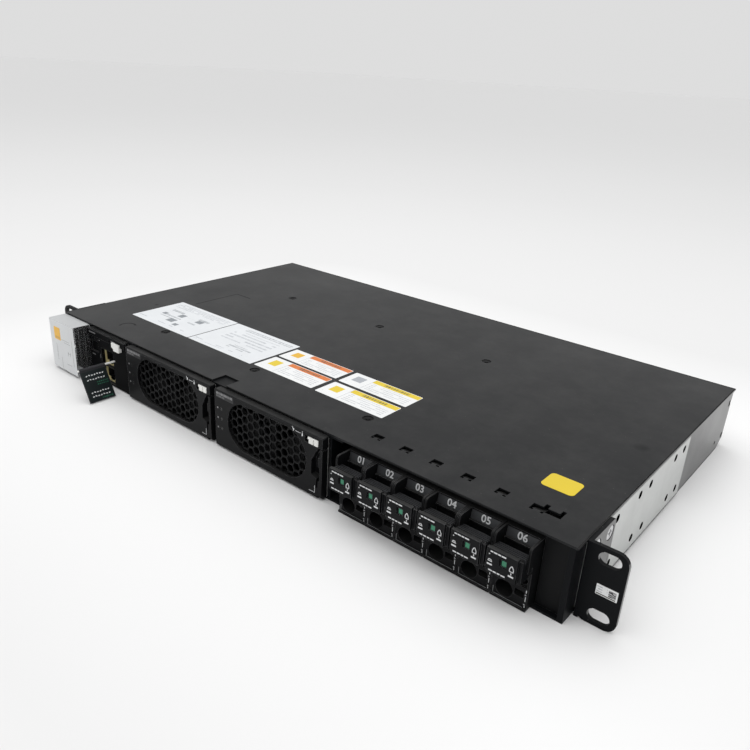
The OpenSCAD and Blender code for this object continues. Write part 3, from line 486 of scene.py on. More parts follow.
def makeClearMaterial():
    made, tree, shader, place = startMaterial("clearMoulded")
    shader.inputs["Transmission Weight"].default_value = 1.0
    shader.inputs["IOR"].default_value = clearLook["ior"]
    grain = grainOver(tree, place, 700.0, 45.0)
    colour = blendColours(tree, grain["Cloud"], clearLook["tint"], clearLook["deep"])
    rough = remap(tree, grain["Cloud"], 0, 1, *clearLook["haze"])
    edges = useGroup(tree, edgeGroup, {"Vector": place, "Radius": 0.0006})
    dress(tree, shader, colour, rough, grain["Height"], 0.05, 0.00002, edges["Normal"])
    return made


# a printed sheet: paper, plain fields of colour and rows of strokes, all in its own x-y plane
def makePrintMaterial(name, origin, frameTurn, layout):
    made, tree, shader, place = startMaterial(name)
    back = frameTurn.transposed()
    shift = {"Vector": place, "Location": -(back @ Vector(origin)), "Rotation": back.to_euler()}
    local = addNode(tree, "ShaderNodeMapping", shift, vector_type="POINT").outputs[0]
    grain = grainOver(tree, place, 2500.0, 60.0)
    paper = layout["paper"]
    colour = blendColours(tree, grain["Cloud"], paper, tuple(0.94 * part for part in paper[:3]) + (1,))
    for *sides, ink in layout.get("fields", []):
        mask = fieldMask(tree, local, *(side * mm for side in sides))
        colour = blendColours(tree, mask, colour, ink)
    for number, (*sides, ink, pitch, stroke, share, fill) in enumerate(layout.get("rows", [])):
        mask = fieldMask(tree, local, *(side * mm for side in sides))
        strokes = useGroup(tree, rowsGroup, {
            "Vector": local, "Pitch": pitch * mm, "Stroke": stroke * mm, "Share": share, "Fill": fill,
            "Seed": 7.0 * number})["Mask"]
        colour = blendColours(tree, times(tree, mask, strokes), colour, ink)
    rough = remap(tree, grain["Cloud"], 0, 1, *layout.get("rough", (0.32, 0.42)))
    shader.inputs["Specular IOR Level"].default_value = layout.get("specular", 0.5)
    dress(tree, shader, colour, rough, grain["Height"], 0.1, 0.00002)
    return made


# ---- finishes on the CAD nodes ----

nodeFinish = {
    "black_paint": "blackPaint", "zinc_steel": "zincPlate", "screw_steel": "screwSteel",
    "cover_screw_steel": "coverScrew",
    "black_plastic": "mouldedBlack", "handle_plastic": "handleBlack", "fan_plastic": "fanBlack",
    "white_plastic": "whiteMoulded", "circuit_board": "boardGreen", "copper": "copperBar",
    "light_pipe": "lightPipe",
}
slotOf = {part["node"]: part["material_slot"] for part in frame["record"]["subparts"]}
bodyOf = {name: nodes[name]["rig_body"] for name in nodes}


def paintNode(name, material):
    piece = nodes[name]
    for index in range(len(piece.material_slots)):
        piece.material_slots[index].material = material


for name, slotName in slotOf.items():
    if slotName in nodeFinish:
        paintNode(name, looks[nodeFinish[slotName]])
for name in ("jack_lower", "jack_upper"):
    paintNode(name, makeJackMaterial(name + "Shield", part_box(name)[0].y))
paintNode("ac_cover", makeClearMaterial())
paintNode("top_cover", looks["coverPaint"])
paintNode("monitor_face", looks["deepBlack"])
paintNode("tag_pin", looks["whiteMoulded"])
for name in ("grille_1", "grille_2"):
    paintNode(name, looks["grilleBlack"])
for name in ("side_plate_left", "side_plate_right"):
    paintNode(name, looks["sidePlate"])
print("CAD nodes painted:", len(slotOf))


# ---- modelling helpers ----

def clearSelection():
    if bpy.context.object and bpy.context.object.mode != "OBJECT":
        bpy.ops.object.mode_set(mode="OBJECT")
    bpy.ops.object.select_all(action="DESELECT")


def settle(piece, name, origin, frameTurn, material, body):
    bpy.ops.object.mode_set(mode="OBJECT")
    piece.rotation_euler = frameTurn.to_euler()
    piece.location = origin
    bpy.ops.object.transform_apply(location=True, rotation=True, scale=True)
    piece.name = name
    piece.data.name = name
    piece.data.materials.clear()
    piece.data.materials.append(material)
    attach(piece, body)
    return piece


def thicken(thickness):
    bpy.ops.mesh.select_all(action="SELECT")
    bpy.ops.mesh.extrude_region_move(TRANSFORM_OT_translate={"value": (0, 0, thickness)})
    bpy.ops.mesh.select_all(action="SELECT")
    bpy.ops.mesh.normals_make_consistent(inside=False)


# a sheet with rounded corners; its own x-y plane is taken to a face of the shelf by the turn
def addSheet(name, size, corner, thickness, origin, frameTurn, material, body):
    clearSelection()
    bpy.ops.mesh.primitive_plane_add(size=1, location=(0, 0, 0))
    piece = bpy.context.object
    piece.scale = (size[0] * mm, size[1] * mm, 1)
    bpy.ops.object.transform_apply(location=False, rotation=False, scale=True)
    bpy.ops.object.mode_set(mode="EDIT")
    bpy.ops.mesh.select_all(action="SELECT")
    bpy.ops.mesh.bevel(offset=corner * mm, segments=6, affect="VERTICES")
    thicken(thickness * mm)
    return settle(piece, name, origin, frameTurn, material, body)


# flat printed marks in one piece; each is (x, y, width, height, turn in degrees)
def addMarks(name, marks, thickness, origin, frameTurn, material, body):
    clearSelection()
    bpy.ops.mesh.primitive_plane_add(size=1, location=(0, 0, 0))
    piece = bpy.context.object
    bpy.ops.object.mode_set(mode="EDIT")
    bpy.ops.mesh.select_all(action="SELECT")
    bpy.ops.mesh.delete(type="VERT")
    for x, y, width, height, angle in marks:
        bpy.ops.mesh.select_all(action="DESELECT")
        bpy.ops.mesh.primitive_plane_add(size=1, location=(0, 0, 0))
        bpy.ops.transform.resize(value=(width * mm, height * mm, 1), center_override=(0, 0, 0))
        if angle:
            bpy.ops.transform.rotate(value=math.radians(-angle), orient_axis="Z", center_override=(0, 0, 0))
        bpy.ops.transform.translate(value=(x * mm, y * mm, 0))
    thicken(thickness * mm)
    return settle(piece, name, origin, frameTurn, material, body)


def addNumber(name, text, size, thickness, origin, frameTurn, material, body):
    clearSelection()
    bpy.ops.object.text_add(location=(0, 0, 0))
    piece = bpy.context.object
    piece.data.body = text
    piece.data.size = size * mm
    piece.data.align_x = "CENTER"
    piece.data.align_y = "CENTER"
    piece.data.extrude = thickness * mm
    piece.data.offset = 0.12 * mm
    piece.data.resolution_u = 3
    bpy.ops.object.convert(target="MESH")
    return settle(bpy.context.object, name, origin, frameTurn, material, body)


# a straight-sided cutter along y from an outline of (x, height), or along x from one of (y, height);
# one point is drawn out round the outline, filled and extruded
def addCutter(outline, front, back, along="Y"):
    clearSelection()
    bpy.ops.mesh.primitive_plane_add(size=1, location=(0, 0, 0))
    cutter = bpy.context.object
    lengthwise = along == "Y"
    points = [Vector((x * mm, front, z * mm) if lengthwise else (front, x * mm, z * mm)) for x,
              z in outline]
    bpy.ops.object.mode_set(mode="EDIT")
    bpy.ops.mesh.select_all(action="SELECT")
    bpy.ops.mesh.merge(type="CENTER")
    bpy.ops.transform.translate(value=tuple(points[0]))
    for last, point in zip(points, points[1:]):
        bpy.ops.mesh.extrude_vertices_move(TRANSFORM_OT_translate={"value": tuple(point - last)})
    bpy.ops.mesh.select_all(action="SELECT")
    bpy.ops.mesh.remove_doubles(threshold=1e-6)
    bpy.ops.mesh.edge_face_add()
    depth = (0, back - front, 0) if lengthwise else (back - front, 0, 0)
    bpy.ops.mesh.extrude_region_move(TRANSFORM_OT_translate={"value": depth})
    bpy.ops.mesh.select_all(action="SELECT")
    bpy.ops.mesh.normals_make_consistent(inside=False)
    bpy.ops.object.mode_set(mode="OBJECT")
    return cutter


# a piece that starts as a copy of a CAD node's mesh, gets the cuts, and stands in for the node
def addCarved(name, node, cutters, material, body):
    clearSelection()
    bpy.ops.mesh.primitive_plane_add(size=1, location=(0, 0, 0))
    piece = bpy.context.object
    piece.data = nodes[node].data.copy()
    bpy.ops.object.mode_set(mode="EDIT")
    bpy.ops.mesh.select_all(action="SELECT")
    bpy.ops.mesh.remove_doubles(threshold=1e-6)
    bpy.ops.object.mode_set(mode="OBJECT")
    for cutter in cutters:
        cut = piece.modifiers.new("cut", "BOOLEAN")
        cut.operation = "DIFFERENCE"
        cut.solver = "EXACT"
        cut.object = cutter
        bpy.context.view_layer.objects.active = piece
        bpy.ops.object.modifier_apply(modifier=cut.name)
        bpy.data.objects.remove(cutter)
    piece.select_set(True)
    settle(piece, name, (0, 0, 0), flat, material, body)
    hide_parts(node)
    return piece


def obround(middle, length, width):
    x, z = middle
    reach, radius = (length - width) / 2, width / 2
    arc = [math.radians(step * 10 - 90) for step in range(19)]
    right = [(x + reach + radius * math.cos(turn), z + radius * math.sin(turn)) for turn in arc]
    left = [(x - reach - radius * math.cos(turn), z - radius * math.sin(turn)) for turn in arc]
    return right + left


def turned(angle, axis):
    return Matrix.Rotation(math.radians(angle), 3, axis)


flat = Matrix.Identity(3)
upright = turned(90, "X")             # x stays along the shelf, y points up, it faces the front
sideways = turned(90, "Z") @ upright  # faces the right side
printLift = 0.01                      # how far a print stands off the face below it, in mm

# ---- ears with open slots, finger recesses, levers and locks ----

earSlots = {"x": 232.55, "z": (5.725, 37.475), "length": 11.0, "width": 6.8, "depth": 4}
for side, sign in (("left", -1), ("right", 1)):
    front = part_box(f"ear_{side}")[0].y
    outlines = [obround((sign * earSlots["x"], z), earSlots["length"],
                        earSlots["width"]) for z in earSlots["z"]]
    cutters = [addCutter(outline, front - mm, front + earSlots["depth"] * mm) for outline in outlines]
    addCarved(f"openEar_{side}", f"ear_{side}", cutters, looks["blackPaint"], "root")

# each cut has an outline of (x from the rectifier's middle, height) and a depth
frontCuts = {
    "recess": ([(44.95, 34.3), (39.4, 24.9), (39.4, 15.4), (44.95, 13.5)], 4.2),
    "leverAbove": ([(44.0, 36.2), (44.0, 28.1), (46.2, 28.1), (46.2, 36.2)], 6),
    "leverBelow": ([(44.0, 22.3), (44.0, 12.5), (46.2, 12.5), (46.2, 22.3)], 6),
    "lockGroove": ([(40.9, 38.4), (40.9, 34.0), (41.7, 34.0), (41.7, 38.4)], 0.7),
    "lockStep": ([(36.0, 37.6), (36.0, 34.0), (37.5, 34.0), (37.5, 37.6)], 1.0),
}


def cutFront(names, middle, face):
    made = []
    for name in names:
        outline, depth = frontCuts[name]
        made.append(addCutter([(middle + x, z) for x, z in outline], face - mm, face + depth * mm))
    return made


for number in (1, 2):
    bezel, lever, lock = f"rectifier_bezel_{number}", f"latch_lever_{number}", f"lock_slider_{number}"
    low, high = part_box(bezel)
    middle = (low.x + high.x) / 2 / mm
    cutters = cutFront(["recess"], middle, low.y)
    addCarved(f"bezel_{number}", bezel, cutters, looks["mouldedBlack"], bodyOf[bezel])
    cutters = cutFront(["leverAbove", "leverBelow"], middle, low.y)
    addCarved(f"lever_{number}", lever, cutters, looks["mouldedBlack"], bodyOf[lever])
    cutters = cutFront(["lockGroove", "lockStep"], middle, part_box(lock)[0].y)
    addCarved(f"lock_{number}", lock, cutters, looks["whiteMoulded"], bodyOf[lock])

# outlines are (x from the lock's left end, height), each with a depth
monitorLockCuts = [([(-1, 0), (2.2, 0), (2.2, 43), (-1, 43)], 2.3),
                   ([(2, 0), (6.6, 0), (4.4, 34.2), (2, 35.4)], 1.2)]
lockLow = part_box("monitor_lock")[0]
left = lockLow.x / mm
cutters = [addCutter([(left + x, z) for x, z in outline], lockLow.y - mm, lockLow.y + depth * mm)
           for outline, depth in monitorLockCuts]
addCarved("monitorLock", "monitor_lock", cutters, looks["whiteMoulded"], bodyOf["monitor_lock"])

plateHoles = {"size": 4.8, "back": (46.5, 76.5, 91.7, 131.2, 146.2), "z": (9.6, 36.6)}
for side in ("left", "right"):
    low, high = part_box(f"side_plate_{side}")
    places = [(frontEdge / mm + back, z) for back in plateHoles["back"] for z in plateHoles["z"]]
    cutters = [addCutter(obround(place, plateHoles["size"], plateHoles["size"]), low.x - mm, high.x + mm,
                         "X")
               for place in places]
    addCarved(f"plate_{side}", f"side_plate_{side}", cutters, looks["sidePlate"], "root")
print("ears, recesses, levers, locks and side plates carved")

# ---- labels on the cover ----

paperWhite = (0.80, 0.81, 0.81, 1)
paperGrey = (0.72, 0.74, 0.76, 1)
greyInk = (0.22, 0.24, 0.26, 1)
paleInk = (0.36, 0.38, 0.41, 1)
orange = (0.64, 0.155, 0.008, 1)
yellow = (0.70, 0.52, 0.006, 1)
amber = (0.72, 0.40, 0.006, 1)
darkInk = (0.05, 0.045, 0.035, 1)

# places in mm from the shelf's centre and from its front edge; fields and rows from each label's middle
coverLabels = {
    "ratingLabel": {"x": (-182, -110), "y": (35, 84), "layout": {
        "paper": paperGrey, "fields": [(-24, -19, -5, -1, greyInk), (-9, -3, -1, 5, greyInk),
                                       (-8, 0, -13, -7, greyInk), (12, 19, 0, 5, greyInk), (4, 9, -16, -12,
                                           greyInk)],
        "rows": [(-31, 31, 12, 21, paleInk, 2.2, 0.8, 0.5, 0.8),
                 (-24, 22, 3, 9, greyInk, 5.0, 1.6, 0.62, 0.5),
                 (-22, 26, -8, -3, greyInk, 5.0, 1.5, 0.7, 0.5), (-34, 24, -20, -17, paleInk, 2.4, 0.8, 0.5,
                     0.7)]}},
    "inputLabel": {"x": (-109, -39.5), "y": (35, 83.5), "layout": {
        "paper": paperGrey,
        "rows": [(-18, 32, 17, 20.5, greyInk, 2.4, 1.0, 0.6, 0.9),
                 (-22, 24, -4, 14, paleInk, 4.4, 1.1, 0.45, 0.75),
                 (-4, 20, -14, -8, greyInk, 2.9, 1.2, 0.6, 0.7), (-33, 20, -21, -18, paleInk, 2.4, 0.8, 0.5,
                     0.7)]}},
    "orangeLabelFront": {"x": (-37, 18), "y": (36.5, 57),
                         "layout": {"paper": paperWhite, "band": orange, "patch": yellow}},
    "orangeLabelBack": {"x": (-37, 18.3), "y": (59.5, 78),
                        "layout": {"paper": paperWhite, "band": orange, "patch": amber}},
    "yellowLabelFront": {"x": (21.8, 77.5), "y": (36, 55.5),
                         "layout": {"paper": paperWhite, "band": yellow, "patch": yellow}},
    "yellowLabelBack": {"x": (21.7, 78), "y": (58.5, 77.5),
                        "layout": {"paper": paperWhite, "band": yellow, "patch": paleInk}},
    "yellowSticker": {"x": (181.5, 200), "y": (37.5, 52.5), "corner": 2.5, "layout": {"paper": yellow}},
}
labelSheet = {"thickness": 0.08, "corner": 0.8, "lift": 0.01 * mm}

for name, label in coverLabels.items():
    (x0, x1), (y0, y1) = label["x"], label["y"]
    middle = Vector(((x0 + x1) / 2 * mm, frontEdge + (y0 + y1) / 2 * mm, topFace + labelSheet["lift"]))
    layout = dict(label["layout"])
    if "band" in layout:
        w, h = (x1 - x0) / 2, (y1 - y0) / 2
        split = -w + (x1 - x0) * 0.32
        layout["fields"] = [(split, w - 0.4, h - 5.4, h - 0.4, layout["band"]),
                            (split - 0.15, split + 0.15, -h + 0.6, h - 0.6, paleInk)]
        layout["rows"] = [(split + 2, w - 3, -h + 2, h - 6.6, paleInk, 2.3, 0.7, 0.4, 0.8),
                          (split + 9, w - 9, h - 4.2, h - 1.6, darkInk, 2.6, 2.1, 1.0, 0.95),
                          (-w + 3, split - 3, -h + 3.4, -h + 4.6, paleInk, 1.6, 0.8, 0.8, 0.8)]
        layout["fields"].append((-w + 5, split - 5, -2.5, h - 4.0, layout["patch"]))
    sheetLook = makePrintMaterial(name + "Print", middle, flat, layout)
    addSheet(name, (x1 - x0, y1 - y0), label.get("corner", labelSheet["corner"]), labelSheet["thickness"],
             middle, flat, sheetLook, "root")
print("cover labels laid:", len(coverLabels))

# painted shade: a thin dark line round the cover's rolled edge; and dark marks at the rear of the right
# side
edgeMarks = {"rim": 0.9, "lift": 0.005, "thickness": 0.03,
             "rear": [(246.6, 33.3, 4.2, 4.2, 0), (246.4, 8.7, 4.2, 3.8, 0)]}
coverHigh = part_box("top_cover")[1]
deepest, widest, rim = (coverHigh.y - frontEdge) / mm, coverHigh.x / mm, edgeMarks["rim"]
coverRimShade = [(widest - rim / 2, deepest / 2, rim, deepest, 0),
            (-widest + rim / 2, deepest / 2, rim, deepest, 0),
            (0, deepest - rim / 2, 2 * widest, rim, 0)]
rimAt = Vector((0, frontEdge, topFace + edgeMarks["lift"] * mm))
addMarks("coverRimShade", coverRimShade, edgeMarks["thickness"], rimAt, flat, looks["deepBlack"], "root")
rearAt = Vector((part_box("chassis_base")[1].x + edgeMarks["lift"] * mm, frontEdge, 0))
addMarks("rearMarks", edgeMarks["rear"], edgeMarks["thickness"], rearAt, sideways, looks["deepBlack"],
         "root")

# ---- label seats, numbers and printed marks on the breakers ----

breakerPrint = {
    "count": 6,
    "inner": (1.35, 18.45),             # between the cheeks, from the breaker's left side
    "seat": {"foot": (0.95, 32.4), "head": (1.9, 37.5),
             "thickness": 0.12},   # y from the front edge and height
    "seatCorner": 0.3,
    "number": {"size": 5.6, "lift": 0.13, "thickness": 0.02},
    "face": -14.2,
    "foot": -4.4,
    # upper and lower strokes, the left column and the right column of a handle's face
    "marks": [(2.9, 31.7, 1.4, 0.75, 0), (4.9, 31.7, 1.9, 0.75, 0), (7.0, 31.7, 1.5, 0.75, 0),
              (9.3, 31.7, 2.4, 0.75, 0),
              (3.2, 21.3, 2.0, 0.75, 0), (5.5, 21.3, 1.8, 0.75, 0), (7.6, 21.3, 1.5, 0.75, 0), (9.9, 21.3,
                  2.2, 0.75, 0),
              (1.8, 30.0, 0.6, 0.6, 0), (1.9, 27.0, 1.0, 0.5, 35), (2.9, 27.0, 1.0, 0.5, -35), (2.4, 26.2,
                  2.4, 0.45, 0),
              (2.4, 24.4, 2.8, 0.9, 0), (13.4, 28.3, 0.45, 1.7, -28), (14.4, 28.3, 0.45, 1.7, 28), (12.9,
                  26.8, 0.45, 1.5, 0),
              (14.9, 26.8, 0.45, 1.5, 0), (13.9, 25.9, 2.4, 0.45, 0), (13.9, 24.6, 0.5, 1.2, 0), (13.9,
                  23.2, 2.8, 0.9, 0)],
    "footMarks": [(18.6, 11.2, 0.45, 1.6, 0), (18.4, 9.2, 0.8, 0.4, 0), (18.6, 6.8, 0.4, 2.8, 0),
                  (18.4, 3.6, 0.8, 0.4, 0),
                  (18.6, 2.4, 0.45, 1.0, 0)],
    "flag": {"at": (9.7, 28.0), "size": (2.6, 3.2), "corner": 0.3, "behind": 0.88, "thickness": 0.5},
    # painted shade: dark strips round the flag's window stand in for the shadow in its recess
    "windowShade": [(7.6, 27.9, 1.4, 4.2, 0), (9.7, 25.95, 2.8, 0.6, 0), (9.7, 29.9, 2.8, 0.4, 0),
                   (11.35, 27.9, 0.4, 4.2, 0)],
    "footLines": [(9.4, 1.6, 16.4, 0.22, 0), (1.2, 3.6, 0.22, 3.8, 0)],
    "ink": 0.04,
}
seatFoot, seatHead = breakerPrint["seat"]["foot"], breakerPrint["seat"]["head"]
seatTilt = math.degrees(math.atan2(seatHead[0] - seatFoot[0], seatHead[1] - seatFoot[1]))
seatTurn = turned(90 - seatTilt, "X")
seatLength = math.hypot(seatHead[0] - seatFoot[0], seatHead[1] - seatFoot[1])

inner, ink, numeral, flag = (breakerPrint[key] for key in ("inner", "ink", "number", "flag"))
for number in range(1, breakerPrint["count"] + 1):
    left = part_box(f"breaker_{number}")[0].x
    handle = f"handle_{number}"
    seatAt = Vector((left + sum(inner) / 2 * mm, frontEdge + (seatFoot[0] + seatHead[0]) / 2 * mm,
                     (seatFoot[1] + seatHead[1]) / 2 * mm))
    addSheet(f"labelSeat{number}", (inner[1] - inner[0], seatLength), breakerPrint["seatCorner"],
             breakerPrint["seat"]["thickness"], seatAt, seatTurn, looks["seatGrey"], "root")
    numberAt = seatAt + seatTurn @ Vector((0, 0, 1)) * numeral["lift"] * mm
    addNumber(f"number{number}", f"0{number}", numeral["size"], numeral["thickness"], numberAt, seatTurn,
              looks["inkWhite"], "root")
    faceAt, footAt = (Vector((left, frontEdge + (breakerPrint[key] + printLift) * mm,
                              0)) for key in ("face", "foot"))
    for kind, marks, at, look, body, slotName in (
            ("handlePrint", "marks", faceAt, "inkWhite", handle, "white_plastic"),
            ("footPrint", "footMarks", footAt, "inkWhite", "root", "white_plastic"),
            ("footLines", "footLines", footAt, "lineGrey", "root", "white_plastic"),
            ("windowShade", "windowShade", faceAt, "deepBlack", handle, "black_plastic")):
        addMarks(f"{kind}{number}", breakerPrint[marks], ink, at, upright, looks[look], body)
    x, z = flag["at"]
    flagAt = Vector((left + x * mm, frontEdge + (breakerPrint["face"] + flag["behind"]) * mm, z * mm))
    addSheet(f"stateFlag{number}", flag["size"], flag["corner"], flag["thickness"], flagAt, upright,
             looks["flagGreen"], handle)
print("breaker prints added")

# ---- prints on the rectifier fronts ----

rectifierPrint = {
    "face": -5.0,
    "dots": [(-45.2, 29.0, 1.2, 1.1, 0), (-45.2, 22.0, 1.2, 1.1, 0), (-45.2, 15.0, 1.2, 1.1, 0)],
    "strokes": [(23.9, 40.2, 0.5, 1.4, 30), (24.7, 39.2, 1.0, 1.6, 0), (31.9, 38.4, 0.9, 1.9, 0),
                (31.9, 40.0, 0.4, 1.4, 0), (28.3, 38.9, 4.4, 0.3, 0),
                (40.4, 4.2, 4.6, 0.3, 0), (42.6, 6.6, 0.3, 4.8, 0)],
    "ink": 0.04,
    "field": {"x": (-46.5, -29.5), "z": (36.4, 40.4), "corner": 0.4, "thickness": 0.03},
}
field = rectifierPrint["field"]
fieldSize = (field["x"][1] - field["x"][0], field["z"][1] - field["z"][0])
for number in (1, 2):
    low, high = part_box(f"rectifier_bezel_{number}")
    at = Vector(((low.x + high.x) / 2, frontEdge + (rectifierPrint["face"] + printLift) * mm, 0))
    body = f"rectifier_{number}"
    addMarks(f"frontDots{number}", rectifierPrint["dots"], rectifierPrint["ink"], at, upright,
             looks["inkGrey"], body)
    addMarks(f"frontStrokes{number}", rectifierPrint["strokes"], rectifierPrint["ink"], at, upright,
             looks["inkWhite"], body)
    fieldAt = at + Vector((sum(field["x"]) / 2 * mm, 0, sum(field["z"]) / 2 * mm))
    fieldLook = makePrintMaterial(f"frontField{number}Print", fieldAt, upright, {
        "paper": (0.016, 0.0165, 0.0175, 1), "specular": 0.3, "rough": (0.4, 0.5),
        "rows": [(-8.3, 7.5, 0.2, 1.9, (0.34, 0.34, 0.345, 1), 3.4, 1.1, 1.0, 0.97),
                 (-8.3, 3.5, -1.5, -0.3, (0.22, 0.22, 0.225, 1), 3.4, 0.9, 1.0, 0.9)]})
    addSheet(f"frontField{number}", fieldSize, field["corner"], field["thickness"], fieldAt, upright,
             fieldLook, body)
print("rectifier prints added")

# ---- tag card's print, monitor's print, ear label, cover film ----

tagPrint = {"lean": 28.3, "start": 10.9, "width": 20.2, "height": 25.0, "thickness": 0.8, "drop": 0.6,
            "margin": (0.8, 2.4), "corner": 0.5, "ink": 0.03, "marksLift": 0.04}
pinLow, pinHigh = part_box("tag_pin")
pinAt = Vector(((pinLow.x + pinHigh.x) / 2, frontEdge - (tagPrint["start"] + tagPrint["width"] / 2) * mm,
                (pinLow.z + pinHigh.z) / 2))
lean = math.radians(tagPrint["lean"])
# its x runs back, its y up along the card, and it faces up and to the right
tagTurn = Matrix(((0, -math.sin(lean), math.cos(lean)), (1, 0, 0), (0, math.cos(lean), math.sin(lean))))
cardMiddle = pinAt + tagTurn @ Vector((0, -tagPrint["height"] / 2 * mm - tagPrint["drop"] * mm,
                                       (tagPrint["thickness"] / 2 + printLift) * mm))
tagGreen = (0.03, 0.16, 0.09, 1)
tagLook = makePrintMaterial("tagPrint", cardMiddle, tagTurn, {
    "paper": (0.006, 0.0105, 0.011, 1), "rough": (0.35, 0.45), "specular": 0.3,
    "rows": [(-8.4, 8.6, -2.6, 3.2, tagGreen, 1.7, 1.5, 0.4, 0.6),
             (-8.4, 8.6, -11.0, -9.0, tagGreen, 1.7, 1.5, 0.4, 0.6)]})
tagRows = {
    "heights": (7.9, 4.7, -4.9, -7.8), "count": 7, "first": -6.2, "pitch": 2.1, "size": (1.2, 0.75),
    "turns": (25, -25, 0), "lifts": (0, 0.25, 0),
}
tagMarks = [(tagRows["first"] + tagRows["pitch"] * step, height + tagRows["lifts"][step % 3],
             *tagRows["size"],
             tagRows["turns"][step % 3])
            for height in tagRows["heights"] for step in range(tagRows["count"])]
tagSize = (tagPrint["width"] - tagPrint["margin"][0], tagPrint["height"] - tagPrint["margin"][1])
addSheet("tagPrint", tagSize, tagPrint["corner"], tagPrint["ink"], cardMiddle, tagTurn, tagLook, "tag")
marksAt = cardMiddle + tagTurn @ Vector((0, 0, tagPrint["marksLift"] * mm))
addMarks("tagMarks", tagMarks, tagPrint["ink"], marksAt, tagTurn, looks["inkWhite"], "tag")

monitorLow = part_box("monitor_face")[0]
monitorPrint = {
    "band": [(4.0, 39.3, 1.2, 0.9, 0), (5.8, 39.3, 1.4, 0.9, 0), (7.7, 39.3, 1.2, 0.9, 0),
             (9.5, 39.3, 1.4, 0.9, 0), (11.4, 39.3, 1.2, 0.9, 0),
             (36.0, 39.2, 5.5, 0.45, 0)],
    "face": [(14.5, 34.2, 1.2, 0.7, 0), (5.0, 20.6, 4.4, 0.6, 0), (14.4, 21.4, 0.5, 3.4, 0)],
    "faceDepth": 2.5,
    "ink": 0.04,
}
bandAt = Vector((monitorLow.x, monitorLow.y + printLift * mm, 0))
addMarks("monitorBandPrint", monitorPrint["band"], monitorPrint["ink"], bandAt, upright, looks["inkGrey"],
         "monitor")
faceAt = Vector((monitorLow.x, frontEdge - (monitorPrint["faceDepth"] - printLift) * mm, 0))
addMarks("monitorFacePrint", monitorPrint["face"], monitorPrint["ink"], faceAt, upright, looks["inkGrey"],
         "monitor")

earLabel = {"x": (228.9, 239.3), "z": (17.9, 23.6), "corner": 0.3, "thickness": 0.06}
earSize = (earLabel["x"][1] - earLabel["x"][0], earLabel["z"][1] - earLabel["z"][0])
earAt = Vector((sum(earLabel["x"]) / 2 * mm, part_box("ear_right")[0].y + printLift * mm,
                sum(earLabel["z"]) / 2 * mm))
earLook = makePrintMaterial("earLabelPrint", earAt, upright, {
    "paper": paperWhite, "fields": [(0.9, 4.4, -1.6, 1.9, (0.02, 0.02, 0.022, 1)),
                                    (-4.9, 4.4, -2.5, -1.9, darkInk)],
    "rows": [(-4.8, 0.2, -1.4, 2.3, greyInk, 1.3, 0.35, 0.45, 0.7),
             (1.0, 4.3, -1.5, 1.8, paperWhite, 0.5, 0.5, 1.0, 0.55)]})
addSheet("earLabel", earSize, earLabel["corner"], earLabel["thickness"], earAt, upright, earLook, "root")

acLow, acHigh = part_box("ac_cover")
acPrint = {
    "lift": 0.09,
    "sticker": {"middle": (10.6, 31.6), "size": (9.0, 10.2), "corner": 0.6, "thickness": 0.06},
    "lines": [(22.0, 28.0, 11.0, 0.25, 0), (24.0, 26.2, 9.0, 0.25, 0), (26.0, 18.4, 4.0, 0.3, 0),
              (24.4, 18.0, 0.3, 3.6, 0), (27.6, 18.0, 0.3, 3.6, 0),
              (14.0, 8.0, 0.25, 9.0, 0), (31.5, 20.0, 0.25, 22.0, 0), (8.0, 16.0, 0.25, 14.0, 0), (24.5,
                  8.6, 7.0, 0.25, 0)],
}
# thin haze on the clear cover: milky at the front and top, faint at the sides
film = {"thickness": 0.04, "lift": 0.03, "rough": (0.3, 0.42)}
filmCover = {"front": {"alpha": (0.78, 0.95), "tint": 0.80}, "top": {"alpha": (0.8, 0.94), "tint": 0.56},
             "side": {"alpha": (0.02, 0.035), "tint": 0.8}}


def makeFilm(name, cover):
    made, tree, shader, place = startMaterial(name)
    grain = grainOver(tree, place, 1200.0, 55.0)
    pale, dull = ((tint * 0.98, tint, tint * 1.015, 1) for tint in (cover["tint"], cover["tint"] * 0.86))
    colour = blendColours(tree, grain["Cloud"], pale, dull)
    rough = remap(tree, grain["Cloud"], 0, 1, *film["rough"])
    tree.links.new(remap(tree, grain["Cloud"], 0, 1, *cover["alpha"]), shader.inputs["Alpha"])
    dress(tree, shader, colour, rough, grain["Height"], 0.1, 0.00003)
    return made


filmLooks = {name: makeFilm("film_" + name, cover) for name, cover in filmCover.items()}
wide, deep, tall = (acHigh - acLow) / mm
middle = (acLow + acHigh) / 2
lift = film["lift"] * mm
for name, size, corner, at, turn in (
        ("Front", (wide, tall), 0.8, (middle.x, acLow.y - lift, middle.z), upright),
        ("Top", (wide, deep), 0.6, (middle.x, middle.y, acHigh.z + lift), flat),
        ("Side", (deep, tall), 0.6, (acHigh.x + lift, middle.y, middle.z), sideways)):
    addSheet(f"cover{name}Film", size, corner, film["thickness"], Vector(at), turn, filmLooks[name.lower()],
             "ac_cover")
frontAt = Vector((acLow.x, acLow.y - acPrint["lift"] * mm, 0))
sticker = acPrint["sticker"]
x, z = sticker["middle"]
stickerAt = frontAt + Vector((x * mm, 0, z * mm))
stickerLook = makePrintMaterial("coverStickerPrint", stickerAt, upright, {
    "paper": (0.86, 0.47, 0.03, 1), "fields": [(-3.4, 3.4, -4.2, -2.4, (0.62, 0.35, 0.05, 1))]})
addSheet("coverSticker", sticker["size"], sticker["corner"], sticker["thickness"], stickerAt, upright,
         stickerLook,
         "ac_cover")
addMarks("coverLines", acPrint["lines"], 0.03, frontAt, upright, looks["inkGrey"], "ac_cover")
print("small prints added")

# ---- camera, light, floor ----

